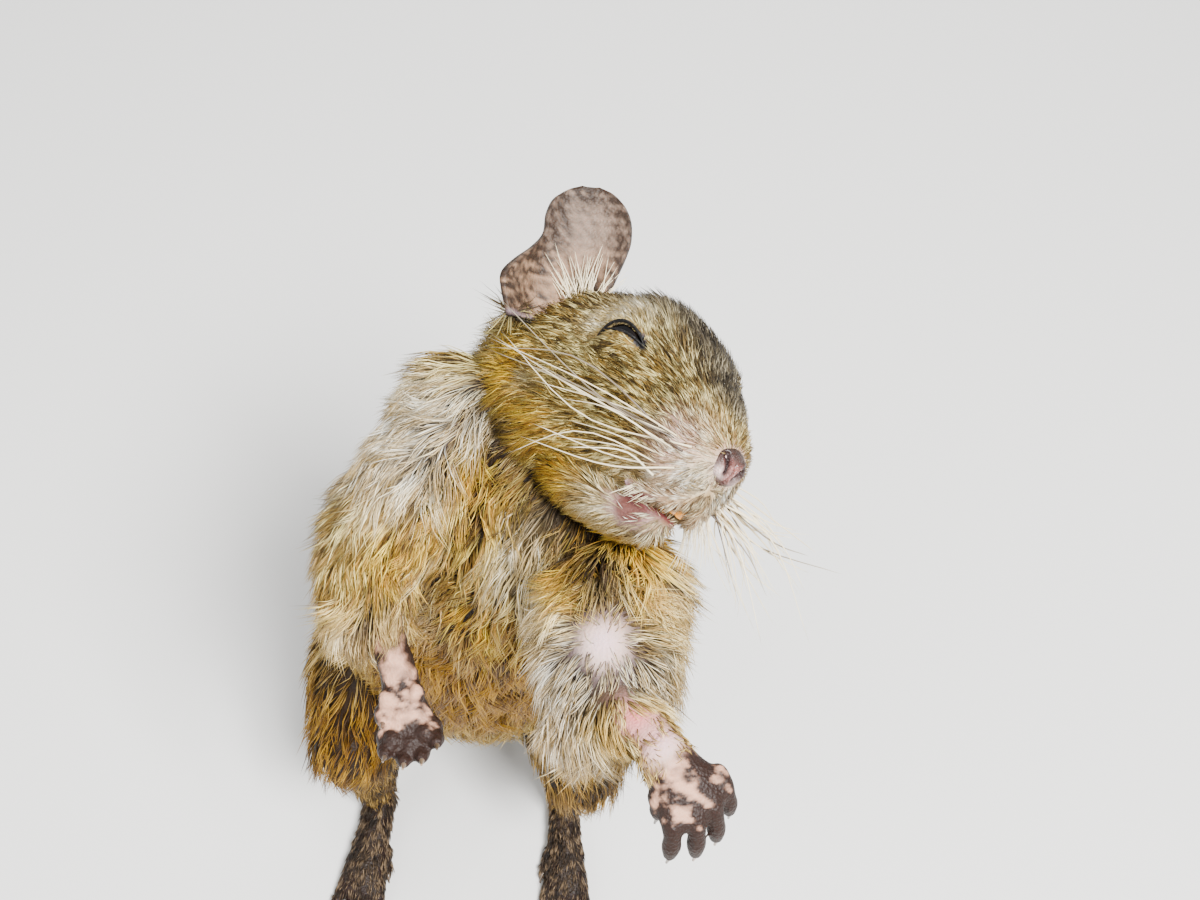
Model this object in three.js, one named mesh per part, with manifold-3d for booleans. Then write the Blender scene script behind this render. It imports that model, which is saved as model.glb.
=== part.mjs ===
// A life-size degu standing up on its hind feet, head turned and tilted to its left, left forepaw
// reaching out and right forepaw hanging, tail laid on the ground behind it as a third support.
//
// Millimetres, +Z up. The animal faces -Y, so its right side is at -X. The origin is the middle of
// the sole of its right hind foot. Every outline is that of the coat, out to the tips of the fur.
import * as THREE from "three";
import { mergeVertices } from "three/addons/utils/BufferGeometryUtils.js";
import Module from "manifold-3d";

const wasm = await Module();
wasm.setup();

// Driving dimensions
const GAP = 0.3; // between neighbouring solids
const RUN_ON = 0.8; // of a stretch into the one before it, before it is cut clear of that one
const NOSE = [62, 6, 160]; // tip of the nose
const HEAD_TURN = 43.4; // degrees that the face is turned to the animal's left
const HEAD_LIFT = 30; // degrees that the nose points up
const HEAD_TILT = 59; // degrees that the head is rolled over, left ear down
const HEAD_LENGTH = 49; // nose to back of the skull
const EYE_RADIUS = 4.2;
const EYE_PLACE = [9.2, 22, 9]; // out from the midline, back from the nose, up
const LID_THICKNESS = 0.75;
const FISSURE_LENGTH = 6.6; // the nearly closed eye
const FISSURE_OPENING = 1.3;
const EAR_LENGTH = 19; // from its root in the skull to the tip
const EAR_CUP_RADIUS = 13; // of its curl across
const EAR_THICKNESS = 1.0;
const LIP_RADIUS = 0.75;
const TOOTH_WIDTH = 1.5;
const CLAW_LENGTH = 2.4;
const TAIL_LENGTH = 112;
const TAIL_BASE_RADIUS = 4.6;
const TAIL_END_RADIUS = 2.4;
const BRUSH_RINGS = 3; // rings of dark locks round the end of the tail
const BRUSH_RING_STEP = 7;
const BRUSH_RING_LOCKS = 4;
const BRUSH_LOCK_LENGTH = 12;

// Facets
const HEAD_SIDES = 24;
const HEAD_STEPS = 16;
const TRUNK_SIDES = 20;
const TRUNK_STEPS = 16;
const LIMB_SIDES = 12;
const DIGIT_SIDES = 5;
const TAIL_SIDES = 8;
const EAR_ARC_POINTS = 8;
const EAR_STEPS = 9;
const EYE_SEGMENTS = 14;

// Trunk from the rump to the neck: x, y, z, half-width, half-depth
const TRUNK = [
  [21, 45, 22, 18, 15],
  [21, 43, 36, 27.5, 23],
  [21, 38, 55, 30.5, 28],
  [23, 32, 76, 29.5, 28],
  [26.5, 26, 95, 26.5, 26],
  [31, 21, 112, 23.5, 22.5],
  [34.5, 20.5, 126, 21.5, 20],
  [36, 24, 134, 19.5, 18.5],
  [37, 28, 141, 16.5, 16],
];
const TRUNK_LENGTH = 128; // along its middle
const NAPE_BULGE = 0.4; // how far the neck rounds off behind the head
const HIP_SIDE = [1, 0.08, 0]; // direction across the hips
const SHOULDER_SIDE = [0.8, -0.58, -0.14]; // across the shoulders, the left one forward and lower
const TRUNK_PARTS = { neck: [0.76, 1], chest: [0.48, 0.76], belly: [0.24, 0.48], rump: [0, 0.24] };

// Limbs, from the body outwards: x, y, z, half-width, half-depth
const UPPER_ARM = {
  right: [
    [24, 25, 141, 13, 12],
    [12, 10, 130, 10.5, 10],
    [10, -0.2, 124, 7.5, 7.5],
  ],
  left: [
    [48, 3, 130, 12, 11],
    [48, -7, 126, 12, 10.5],
    [46.5, -13.5, 121.5, 8.8, 8.8],
  ],
};
const FOREARM = {
  right: [
    [10.6, -0.4, 124, 4.3, 4.7],
    [14.2, -6.0, 121.6, 3.5, 3.4],
    [17.0, -11.4, 119.0, 3.3, 2.9],
  ],
  left: [
    [46.5, -13.5, 121.5, 7.2, 7],
    [51.6, -17.4, 128, 5.6, 5.2],
    [57.4, -24.2, 132.6, 3.3, 2.9],
  ],
};
const THIGH = {
  right: [
    [4, 38, 48, 18, 19],
    [0, 25, 45, 16, 17.5],
    [-2.5, 12, 41, 10.5, 11],
  ],
  left: [
    [38, 38, 48, 18, 19],
    [43.5, 25, 45, 16, 17.5],
    [47, 12, 41, 10.5, 11],
  ],
};
const SHANK = {
  right: [
    [-2.5, 13, 39, 10, 9.5],
    [-1.4, 17, 23, 7.6, 8.6],
    [-0.6, 15.2, 9, 4.8, 5.2],
  ],
  left: [
    [47, 13, 39, 10, 9.5],
    [45.5, 20, 23, 7.6, 8.6],
    [44, 19.2, 9, 4.8, 5.2],
  ],
};
// Forepaws, in degrees, of a paw that points to -Y with its back up. The palm's width and length and
// the fingers' spread and length are times those below, and curl bends the fingers.
const PAW = {
  right: {
    wrist: [16.8, -11.4, 119.0],
    turn: 20,
    lift: -22,
    roll: 172,
    palmSize: [0.96, 1.36],
    fingerSize: [0.96, 0.56],
    fingerTurn: 0,
    curl: 0.9,
  },
  left: {
    wrist: [57.6, -25.2, 132.2],
    turn: 46,
    lift: -24,
    roll: -8,
    palmSize: [1.24, 1.25],
    fingerSize: [1.2, 1.1],
    fingerTurn: -18,
    curl: 0.7,
  },
};
// Hind feet: the heel on the ground and how far the toes turn out, in degrees
const FOOT = {
  right: { heel: [0.6, 17], turn: -2 },
  left: { heel: [44, 21], turn: 6 },
};

const COLOUR = {
  back: 0x8b7440,
  belly: 0xc79a4a,
  limb: 0xc9bb9a,
  skin: 0xd9aaa4,
  ear: 0x8e8078,
  dark: 0x2a2320,
  tooth: 0xd98a2b,
  eye: 0x0b0a0a,
};

const vec = (...coordinates) => new THREE.Vector3(...coordinates);
const rad = THREE.MathUtils.degToRad;
const { clamp } = THREE.MathUtils;
const { sin, cos, PI, exp, round } = Math;

// Smooth value of column k of a table of rows, at t from 0 to 1 along it
function spline(rows, k, t) {
  const last = rows.length - 1;
  const at = clamp(t, 0, 1) * last;
  const i = Math.min(Math.floor(at), last - 1);
  const f = at - i;
  const [p, q] = [rows[i][k], rows[i + 1][k]];
  const before = i > 0 ? rows[i - 1][k] : 2 * p - q;
  const after = i < last - 1 ? rows[i + 2][k] : 2 * q - p;
  const bend = 2 * before - 5 * p + 4 * q - after;
  return p + 0.5 * f * (q - before + f * (bend + f * (3 * (p - q) + after - before)));
}

// A closed mesh from rings of points, each end closed by a fan to its pole. The facets of a folded
// sheet are split alike on its two faces.
function closeRings(rings, startPole, endPole, foldedSheet = false) {
  const sides = rings[0].length;
  const points = [startPole, ...rings.flat(), endPole];
  const index = [];
  const at = (ring, side) => 1 + ring * sides + (side % sides);
  for (let s = 0; s < sides; s++) {
    index.push(0, at(0, s + 1), at(0, s));
    index.push(points.length - 1, at(rings.length - 1, s), at(rings.length - 1, s + 1));
    for (let r = 0; r < rings.length - 1; r++) {
      const quad = [at(r, s), at(r, s + 1), at(r + 1, s + 1), at(r + 1, s)];
      const [a, b, c, d] = foldedSheet && s >= sides / 2 ? [...quad.slice(1), quad[0]] : quad;
      index.push(a, b, c, a, c, d);
    }
  }
  const geometry = new THREE.BufferGeometry().setFromPoints(points);
  geometry.setIndex(index);
  return geometry;
}

// A closed solid, its faces pointing out
function solid(geometry) {
  const bare = geometry.clone();
  bare.deleteAttribute("normal");
  bare.deleteAttribute("uv");
  const merged = mergeVertices(bare, 1e-4);
  const vertProperties = merged.attributes.position.array;
  const triVerts = new Uint32Array(merged.index.array);
  const made = new wasm.Manifold(new wasm.Mesh({ numProp: 3, vertProperties, triVerts }));
  if (made.volume() > 0) return made;
  triVerts.reverse();
  return new wasm.Manifold(new wasm.Mesh({ numProp: 3, vertProperties, triVerts }));
}

const join = (first, ...others) => others.reduce((sum, other) => sum.add(other), first);
const cut = (first, ...others) => others.reduce((rest, other) => rest.subtract(other), first);

// An ellipsoid at a place
function ball(place, radii, segments = EYE_SEGMENTS) {
  const geometry = new THREE.SphereGeometry(1, segments, round(segments * 0.6));
  geometry.scale(...radii);
  geometry.translate(...place);
  return geometry;
}

// A limb or a stretch of the trunk: stations of x, y, z, half-width and half-depth, carried from
// one place along them to another, with round or flat ends
function tube(stations, options = {}) {
  const { sides = LIMB_SIDES, steps = 6, grow = 0, from = 0, to = 1 } = options;
  const { side = [1, 0, 0], sideEnd = side, roundStart = true, roundEnd = true } = options;
  const { domes = [30, 60], bulging = 1 } = options; // bulging below 1 flattens the round ends
  const place = (t) => vec(...[0, 1, 2].map((k) => spline(stations, k, t)));
  const size = (k, t) => spline(stations, k, t) + grow;
  const ring = (t, shrink, ahead) => {
    const near = 0.002;
    const forward = place(Math.min(t + near, 1)).sub(place(Math.max(t - near, 0))).normalize();
    const across = vec(...side).lerp(vec(...sideEnd), t);
    across.addScaledVector(forward, -across.dot(forward)).normalize();
    const deep = across.clone().cross(forward);
    const centre = place(t).addScaledVector(forward, ahead);
    return Array.from({ length: sides }, (_, i) => {
      const angle = (2 * PI * i) / sides;
      const point = centre.clone().addScaledVector(across, size(3, t) * shrink * cos(angle));
      return point.addScaledVector(deep, size(4, t) * shrink * sin(angle));
    });
  };
  const domeAngles = domes.map(rad);
  const bulge = (t) => bulging * Math.min(size(3, t), size(4, t));
  const dome = (t, sign) => domeAngles.map((a) => ring(t, cos(a), sign * sin(a) * bulge(t)));
  const flatStart = roundStart ? 0 : -grow;
  const flatEnd = roundEnd ? 0 : grow;
  const stretch = Array.from({ length: steps + 1 }, (_, i) => {
    const ahead = (i === 0 ? flatStart : 0) + (i === steps ? flatEnd : 0);
    return ring(from + ((to - from) * i) / steps, 1, ahead);
  });
  const rings = [
    ...(roundStart ? dome(from, -1).reverse() : []),
    ...stretch,
    ...(roundEnd ? dome(to, 1) : []),
  ];
  const pole = (t, ahead) => ring(t, 0, ahead)[0];
  return closeRings(
    rings,
    pole(from, roundStart ? -bulge(from) : flatStart),
    pole(to, roundEnd ? bulge(to) : flatEnd),
  );
}

const ROD_SIDE = [0.8, 0.1, 0.6]; // off the way that any rod runs

// A thin tapered rod through a few points, its radius going from one size to another
function rod(points, startRadius, endRadius, options = {}) {
  const radius = (i) => startRadius + ((endRadius - startRadius) * i) / (points.length - 1);
  const stations = points.map((p, i) => [...p, radius(i), radius(i)]);
  return tube(stations, { sides: DIGIT_SIDES, steps: 4, side: ROD_SIDE, domes: [45], ...options });
}

// Head, in a frame with the nose at its origin, -Y forward, +Z to the crown and +X to the left
const headMatrix = new THREE.Matrix4().compose(
  vec(...NOSE),
  new THREE.Quaternion().setFromEuler(
    new THREE.Euler(rad(-HEAD_LIFT), rad(HEAD_TILT), rad(HEAD_TURN), "ZXY"),
  ),
  vec(1, 1, 1),
);

// Head outline: back from the nose, top, bottom, half-width
const HEAD = [
  [0.2, 2.6, -2.6, 3.0],
  [2, 5.0, -5.2, 4.9],
  [4.5, 7.2, -7.2, 6.6],
  [8, 10.2, -8.4, 8.2],
  [13, 14.0, -10.4, 10.0],
  [18, 17.2, -12.6, 11.8],
  [24, 19.5, -14.6, 13.8],
  [30, 20.0, -15.6, 15.8],
  [36, 18.8, -15.8, 17.2],
  [42, 16.4, -14.4, 17.0],
  [46, 13.2, -11.4, 14.4],
  [HEAD_LENGTH, 8.4, -6.4, 9.4],
];
// Swellings and hollows on both sides: out, back, up, height, spread
const HEAD_FORMS = [
  [5.0, 5.5, -4.2, 1.5, 3.6], // pad that carries the whiskers
  [11, 31, -6, 1.4, 8], // cheek
  [7.5, 20, 13, 0.8, 4.5], // brow
  [7.5, 13, 4, -0.9, 4], // hollow before the eye
];

function headPoint(t, angle, grow) {
  const [back, top, bottom, halfWidth] = [0, 1, 2, 3].map((k) => spline(HEAD, k, t));
  const halfHeight = (top - bottom) / 2;
  const up = (top + bottom) / 2 + halfHeight * sin(angle);
  const point = vec(halfWidth * cos(angle), back, up);
  const lift = HEAD_FORMS.reduce((sum, [x, y, z, height, spread]) => {
    const distance = vec(Math.abs(point.x), point.y, point.z).distanceTo(vec(x, y, z));
    return sum + height * exp(-((distance / spread) ** 2));
  }, grow);
  const out = vec(cos(angle) / halfWidth, 0, sin(angle) / halfHeight).normalize();
  return point.addScaledVector(out, lift);
}

// Whiskers: a few stiff hairs for each side, from the pad that carries them. Rows give the root, and
// where the middle and the tip lie, out, back and up.
const WHISKER_RADIUS = 0.3;
const WHISKERS = {
  left: [
    [[5.6, 5.0, -2.0], [12.5, 1.6, -0.6], [19, -0.5, -0.6]],
    [[5.8, 6.2, -3.2], [14.5, 0.8, -4.2], [23, -4, -6]],
    [[5.4, 4.2, -4.0], [14.6, 1.2, -7.6], [23.6, -2.4, -13]],
    [[5.2, 5.4, -5.2], [12.6, 5.2, -10.2], [18.6, 4.2, -16.6]],
  ],
  right: [
    [[5.8, 4.0, -0.2], [14.0, 14, 0.4], [19.6, 29.5, -0.8]],
    [[5.8, 4.0, -2.2], [14.0, 13, -2.6], [19.6, 29, -5.0]],
    [[5.5, 4.0, -3.7], [13.0, 11.6, -5.8], [18.8, 25.0, -9.4]],
    [[5.2, 5.4, -5.2], [11.4, 9.6, -9.0], [15.6, 18.0, -13.4]],
  ],
};
const whiskerForm = (sideSign, grow) =>
  join(
    ...WHISKERS[sideSign < 0 ? "right" : "left"].map((path) => {
      const mirrored = path.map(([out, back, up]) => [out * sideSign, back, up]);
      const shape = { grow, steps: 3, sides: 3, roundStart: false };
      return solid(rod(mirrored, WHISKER_RADIUS, WHISKER_RADIUS * 0.7, shape));
    }),
  );

function headForm(grow) {
  const rings = Array.from({ length: HEAD_STEPS + 1 }, (_, r) =>
    Array.from({ length: HEAD_SIDES }, (_, s) =>
      headPoint(r / HEAD_STEPS, (2 * PI * s) / HEAD_SIDES, grow),
    ),
  );
  const endBulge = 1.6;
  return closeRings(rings, vec(0, -0.5 - grow, 0), vec(0, HEAD_LENGTH + endBulge + grow, 0.7));
}

// An eye's own frame: its middle, and directions out of the head, forward and up along the lids
function eyeFrame(sideSign) {
  const out = vec(0.86 * sideSign, -0.28, 0.42).normalize();
  const forward = vec(0, -1, 0.5);
  forward.addScaledVector(out, -forward.dot(out)).normalize();
  const up = out.clone().cross(forward).multiplyScalar(-sideSign);
  const middle = vec(EYE_PLACE[0] * sideSign, EYE_PLACE[1], EYE_PLACE[2]);
  return { out, forward, up, middle };
}

// The slit between the lids: a bowed lens carried straight out of the eye
function fissure(sideSign) {
  const { out, forward, up, middle } = eyeFrame(sideSign);
  const arcPoints = 7;
  const bow = 1.3;
  const low = -1.0;
  const edge = (s, opening) => low + (bow + opening) * (1 - s * s);
  const shape = new THREE.Shape();
  const half = FISSURE_LENGTH / 2;
  const at = (i) => -1 + (2 * i) / (arcPoints - 1);
  shape.moveTo(-half, low);
  for (let i = 1; i < arcPoints; i++) shape.lineTo(at(i) * half, edge(at(i), FISSURE_OPENING));
  for (let i = arcPoints - 2; i > 0; i--) shape.lineTo(at(i) * half, edge(at(i), 0));
  const geometry = new THREE.ExtrudeGeometry(shape, { depth: 8, bevelEnabled: false });
  geometry.applyMatrix4(new THREE.Matrix4().makeBasis(forward, up, out).setPosition(middle));
  return solid(geometry);
}

function lidForm(sideSign, grow) {
  const { middle, out } = eyeFrame(sideSign);
  const radius = EYE_RADIUS + GAP + LID_THICKNESS + grow;
  const place = middle.addScaledVector(out, -0.2);
  return solid(ball(place.toArray(), [radius, radius, radius]));
}

const eyeForm = (sideSign, grow) => {
  const radius = EYE_RADIUS + grow;
  return solid(ball(eyeFrame(sideSign).middle.toArray(), [radius, radius, radius]));
};

// Upper lip: from the cleft below the nose to the corner of the mouth
const upperLip = (sideSign, grow) =>
  solid(
    rod(
      [
        [0.5, 1.6, -4.6],
        [2.2, 3.2, -7.4],
        [4.1, 6.2, -8.6],
        [5.4, 10.4, -8.8],
      ].map((p) => [p[0] * sideSign, p[1], p[2]]),
      LIP_RADIUS * 1.3,
      LIP_RADIUS,
      { grow, steps: 5 },
    ),
  );

// Lower jaw with its lip, opened a little
const JAW = [
  [0, 23, -11.2, 10.0, 5.4],
  [0, 16, -12.0, 8.2, 4.4],
  [0, 10.5, -12.3, 5.4, 3.1],
  [0, 8, -12.0, 3.6, 2.3],
];
const jawForm = (grow) =>
  join(
    solid(tube(JAW, { grow, sides: 14, steps: 5 })),
    ...[1, -1].map((sideSign) =>
      solid(
        rod(
          [
            [0.4, 6.0, -10.8],
            [2.6, 7.2, -10.5],
            [4.4, 10.5, -9.7],
          ].map((p) => [p[0] * sideSign, p[1], p[2]]),
          LIP_RADIUS,
          LIP_RADIUS,
          { grow, steps: 3 },
        ),
      ),
    ),
  );

// Incisors: a side-by-side pair, curved as an arc of a tapered rod
const incisors = (points, grow) =>
  join(
    ...[1, -1].map((sideSign) => {
      const apart = (TOOTH_WIDTH / 2) * 0.85 * sideSign;
      const path = points.map(([back, up]) => [apart, back, up]);
      return solid(rod(path, TOOTH_WIDTH / 2, TOOTH_WIDTH * 0.42, { grow, steps: 3 }));
    }),
  );
const UPPER_INCISORS = [
  [6.4, -4.6],
  [4.6, -6.6],
  [4.7, -8.9],
];
const LOWER_INCISORS = [
  [9.6, -11.8],
  [7.4, -10.6],
  [6.6, -9.3],
];

// Nose pad with a slanting nostril on each side of its middle groove
const PAD_RADII = [3.0, 1.7, 2.8];
const PAD_PLACE = [0, 0.6, -0.1];
const padForm = (grow) => solid(ball(PAD_PLACE, PAD_RADII.map((r) => r + grow), 14));
function nosePad() {
  const nostrils = [1, -1].map((sideSign) =>
    solid(
      rod(
        [
          [0.85, -1.6, -0.9],
          [1.45, -1.0, -0.2],
          [1.9, -0.6, 0.7],
        ].map((p) => [p[0] * sideSign, p[1], p[2]]),
        0.5,
        0.35,
        { steps: 3 },
      ),
    ),
  );
  const groove = solid(rod([[0, -1.2, 0.9], [0, -1.25, -0.5], [0, -0.6, -1.9]], 0.3, 0.35, { steps: 3 }));
  return cut(padForm(0), ...nostrils, groove);
}

// Ear: a thin cup with a notch in its rear edge. Rows give the distance along it as a share of its
// length, and its reach to the front edge and to the rear edge.
const EAR = [
  [0, 3.6, 14.4],
  [0.12, 4.2, 14.6],
  [0.28, 5.2, 12.0],
  [0.43, 6.2, 8.6],
  [0.56, 6.8, 6.8],
  [0.72, 6.6, 6.6],
  [0.86, 5.4, 5.6],
  [0.95, 3.6, 3.6],
  [1, 1.4, 1.4],
];
const EAR_ROOT = [11, 36, 12]; // out, back and up from the nose
const EAR_AXIS = { right: [0.36, 0.3, 0.88], left: [0.5, 0.75, 0.42] }; // the left one lies back
const EAR_FACING = [0.6, -0.8, 0];
function earForm(which, grow) {
  const sideSign = which === "right" ? -1 : 1;
  const mirrored = ([x, y, z]) => vec(x * sideSign, y, z);
  const root = mirrored(EAR_ROOT);
  const along = mirrored(EAR_AXIS[which]).normalize();
  const facing = mirrored(EAR_FACING);
  facing.addScaledVector(along, -facing.dot(along)).normalize();
  const rearwards = along.clone().cross(facing).multiplyScalar(sideSign);
  const ring = (t) => {
    const centre = root.clone().addScaledVector(along, spline(EAR, 0, t) * EAR_LENGTH);
    const reach = Array.from({ length: EAR_ARC_POINTS }, (_, i) => {
      const k = i / (EAR_ARC_POINTS - 1);
      return -spline(EAR, 1, t) * (1 - k) + spline(EAR, 2, t) * k;
    });
    const point = (distance, radius) => {
      const angle = distance / EAR_CUP_RADIUS;
      const out = centre.clone().addScaledVector(rearwards, radius * sin(angle));
      return out.addScaledVector(facing, EAR_CUP_RADIUS - radius * cos(angle));
    };
    const inner = reach.map((distance) => point(distance, EAR_CUP_RADIUS - grow));
    const outer = reach.map((distance) => point(distance, EAR_CUP_RADIUS + EAR_THICKNESS + grow));
    return [...inner, ...outer.reverse()];
  };
  const rings = Array.from({ length: EAR_STEPS + 1 }, (_, i) => ring(i / EAR_STEPS));
  const middle = (points) =>
    points.reduce((sum, p) => sum.add(p), vec(0, 0, 0)).divideScalar(points.length);
  return solid(closeRings(rings, middle(rings[0]), middle(rings[EAR_STEPS]), true));
}

// Digits of a paw or foot, each with its claw: out from the middle, back from the tip of the palm
// or sole, length, turn out in degrees and height
function digits(rows, { radius, curl, claw, grow }) {
  const clawRadius = 0.45;
  return rows.flatMap(([outward, ahead, length, turn, up]) => {
    const [s, c] = [sin(rad(turn)), cos(rad(turn))];
    const at = (d, drop) => [outward + s * d, -ahead - c * d, up - drop * length];
    const toe = [at(-2, 0), at(length * 0.5, curl * 0.25), at(length * (1 - curl * 0.3), curl)];
    const end = length * (1 - curl * 0.3);
    const hook = [at(end - 0.4, curl), at(end + claw * 0.6, curl + 0.05), at(end + claw, curl + 0.2)];
    return [
      rod(toe, radius, radius * 0.85, { grow, steps: 2 }),
      rod(hook, clawRadius, clawRadius * 0.45, { grow, steps: 2, roundStart: false, sides: 5 }),
    ];
  });
}

// Forepaw in its own frame: wrist at the origin, fingers to -Y, back of the paw up
const FINGERS = [
  [-3.8, 6.0, 4.8, -9, 0.1],
  [-1.3, 7.0, 5.6, -3, 0.4],
  [1.3, 7.0, 5.6, 3, 0.4],
  [3.8, 6.0, 4.8, 9, 0.1],
];
const THUMB = [3.4, 3.2, 2.0, 10, -0.6];
const PALM = [
  [0, 1.0, 0, 2.9, 2.6],
  [0, -2.5, 0, 3.6, 2.4],
  [0, -5.0, 0, 4.8, 2.2],
  [0, -6.6, 0, 4.6, 1.8],
];
const FINGER_RADIUS = 1.25;
function pawForm(which, grow) {
  const { wrist, turn, lift, roll, palmSize, fingerSize, fingerTurn, curl } = PAW[which];
  const [palmWidth, palmLength] = palmSize;
  const [spread, reach] = fingerSize;
  const inward = which === "right" ? 1 : -1;
  const thumb = THUMB.map((v, i) => (i === 0 || i === 3 ? v * inward : v));
  const rows = [...FINGERS, thumb].map(([outward, ahead, length, turnOut, up]) => [
    outward * spread,
    ahead * palmLength,
    length * reach,
    turnOut * spread + fingerTurn,
    up,
  ]);
  const palm = PALM.map(([x, y, z, halfWidth, halfDepth]) => [
    x,
    y * palmLength,
    z,
    halfWidth * palmWidth,
    halfDepth,
  ]);
  const size = { radius: FINGER_RADIUS, curl, claw: CLAW_LENGTH, grow };
  const pieces = [tube(palm, { grow, steps: 4, domes: [45] }), ...digits(rows, size)];
  const pose = new THREE.Matrix4().compose(
    vec(...wrist),
    new THREE.Quaternion().setFromEuler(new THREE.Euler(rad(-lift), rad(roll), rad(turn), "ZXY")),
    vec(1, 1, 1),
  );
  return join(...pieces.map((piece) => solid(piece.applyMatrix4(pose))));
}

// Hind foot in its own frame: heel at the origin, toes to -Y, sole at z 0
const TOES = [
  [-3.9, 22.5, 6.2, -14, 1.3],
  [-1.5, 23.5, 8.6, -4, 1.3],
  [1.2, 23.5, 8.8, 4, 1.3],
  [3.8, 22.5, 7.0, 13, 1.3],
];
const FIRST_TOE = [3.6, 15, 4.2, 20, 1.3];
const SOLE = [
  [0, -3, 3.0, 3.4, 3.4],
  [0, -10, 2.6, 3.6, 3.2],
  [0, -18, 2.4, 4.5, 2.8],
  [0, -24, 2.0, 5.3, 2.4],
];
const TOE_RADIUS = 1.5;
function footForm(which, grow) {
  const { heel, turn } = FOOT[which];
  const inward = which === "right" ? 1 : -1;
  const first = FIRST_TOE.map((v, i) => (i === 0 || i === 3 ? v * inward : v));
  const size = { radius: TOE_RADIUS, curl: 0.05, claw: CLAW_LENGTH, grow };
  const pieces = [tube(SOLE, { grow, steps: 5 }), ...digits([...TOES, first], size)];
  const pose = new THREE.Matrix4().makeRotationZ(rad(turn)).setPosition(...heel, 0);
  return join(...pieces.map((piece) => solid(piece.applyMatrix4(pose))));
}

// Tail: down from the rump and straight back along the ground, its underside flat
const TAIL_START = [22, 52, 22];
const TAIL_DRIFT = 1.3; // sideways by its end
const TAIL_PARTS = { tail_tip: [0.72, 1], tail_middle: [0.36, 0.72], tail_base: [0, 0.36] };
function tailForm(range, grow) {
  const radiusAt = (t) => TAIL_BASE_RADIUS + (TAIL_END_RADIUS - TAIL_BASE_RADIUS) * t;
  const rest = (t) => radiusAt(t) - 0.5;
  const [x, y, z] = TAIL_START;
  const stations = [
    [x, y, z],
    [x, y + 9, z * 0.45],
    [x, y + 20, rest(0.2)],
    [x + 0.2 * TAIL_DRIFT, y + 36, rest(0.36)],
    [x + 0.5 * TAIL_DRIFT, y + 55, rest(0.52)],
    [x + 0.8 * TAIL_DRIFT, y + 74, rest(0.7)],
    [x + TAIL_DRIFT, y + 92, rest(0.86)],
    [x + TAIL_DRIFT, y + TAIL_LENGTH - 4, rest(1)],
  ].map((place, i, all) => {
    const radius = radiusAt(i / (all.length - 1));
    return [...place, radius, radius];
  });
  const ends = { roundStart: range[0] === 0, roundEnd: range[1] === 1 };
  return tube(stations, { grow, from: range[0], to: range[1], sides: TAIL_SIDES, steps: 8, ...ends });
}

// Dark brush: rings of tapered locks that lean out and lie back along the end of the tail
function brushLocks() {
  const middle = [TAIL_START[0] + TAIL_DRIFT, TAIL_START[1] + TAIL_LENGTH, TAIL_END_RADIUS];
  return Array.from({ length: BRUSH_RINGS * BRUSH_RING_LOCKS }, (_, i) => {
    const ringIndex = Math.floor(i / BRUSH_RING_LOCKS);
    const share = (i % BRUSH_RING_LOCKS) / (BRUSH_RING_LOCKS - 1);
    const angle = rad(-12 + 204 * share + (ringIndex % 2) * 14 * (share - 0.5));
    const rootBack = -3 - ringIndex * BRUSH_RING_STEP;
    const length = BRUSH_LOCK_LENGTH * (1 + 0.12 * sin(i * 1.7));
    const lean = 3.0 + 0.6 * cos(i * 2.3) - (ringIndex === 0 ? 1.2 : 0);
    const at = (k, radius) => [
      middle[0] + cos(angle) * radius,
      middle[1] + rootBack + length * k,
      middle[2] + sin(angle) * radius,
    ];
    const path = [at(0, 1), at(0.5, lean * 0.9), at(1, lean * 1.15)];
    return solid(rod(path, 1.5, 0.4, { steps: 2, sides: 5, roundStart: false }));
  });
}

// Everything under the ground is cut off, which gives soles and tail their flats
const GROUND_SIZE = 600;
const ground = (grow = 0) => {
  const box = new THREE.BoxGeometry(GROUND_SIZE, GROUND_SIZE, GROUND_SIZE);
  box.translate(0, 0, -GROUND_SIZE / 2 + grow);
  return solid(box);
};
const onGround = (made) => made.subtract(ground());

const inHead = (make) => (grow) => make(grow).transform([...headMatrix.elements]);

// Parts, in the order in which they keep their full form: each is cut clear of those before it
const parts = [];
function add(name, colour, make, roughness = 0.9) {
  parts.push({ name, colour, make, roughness });
}

for (const [which, sideSign] of [["right", -1], ["left", 1]]) {
  const eye = inHead((grow) => eyeForm(sideSign, grow));
  add(`eye_${which}`, COLOUR.eye, eye, 0.1);
}
add("upper_incisors", COLOUR.tooth, inHead((grow) => incisors(UPPER_INCISORS, grow)), 0.3);
add("lower_incisors", COLOUR.tooth, inHead((grow) => incisors(LOWER_INCISORS, grow)), 0.3);
add("nose_pad", COLOUR.skin, inHead((grow) => (grow ? padForm(grow) : nosePad())), 0.5);
add("lower_jaw", COLOUR.limb, inHead(jawForm));
add(
  "head",
  COLOUR.back,
  inHead((grow) => {
    const lids = [1, -1].map((sideSign) => lidForm(sideSign, grow));
    const lips = [1, -1].map((sideSign) => upperLip(sideSign, grow));
    const whole = join(solid(headForm(grow)), ...lids, ...lips);
    if (grow) return whole;
    return join(cut(whole, fissure(1), fissure(-1)), whiskerForm(1, 0), whiskerForm(-1, 0));
  }),
);
for (const which of ["right", "left"]) {
  add(`ear_${which}`, COLOUR.ear, inHead((grow) => earForm(which, grow)));
}
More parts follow.
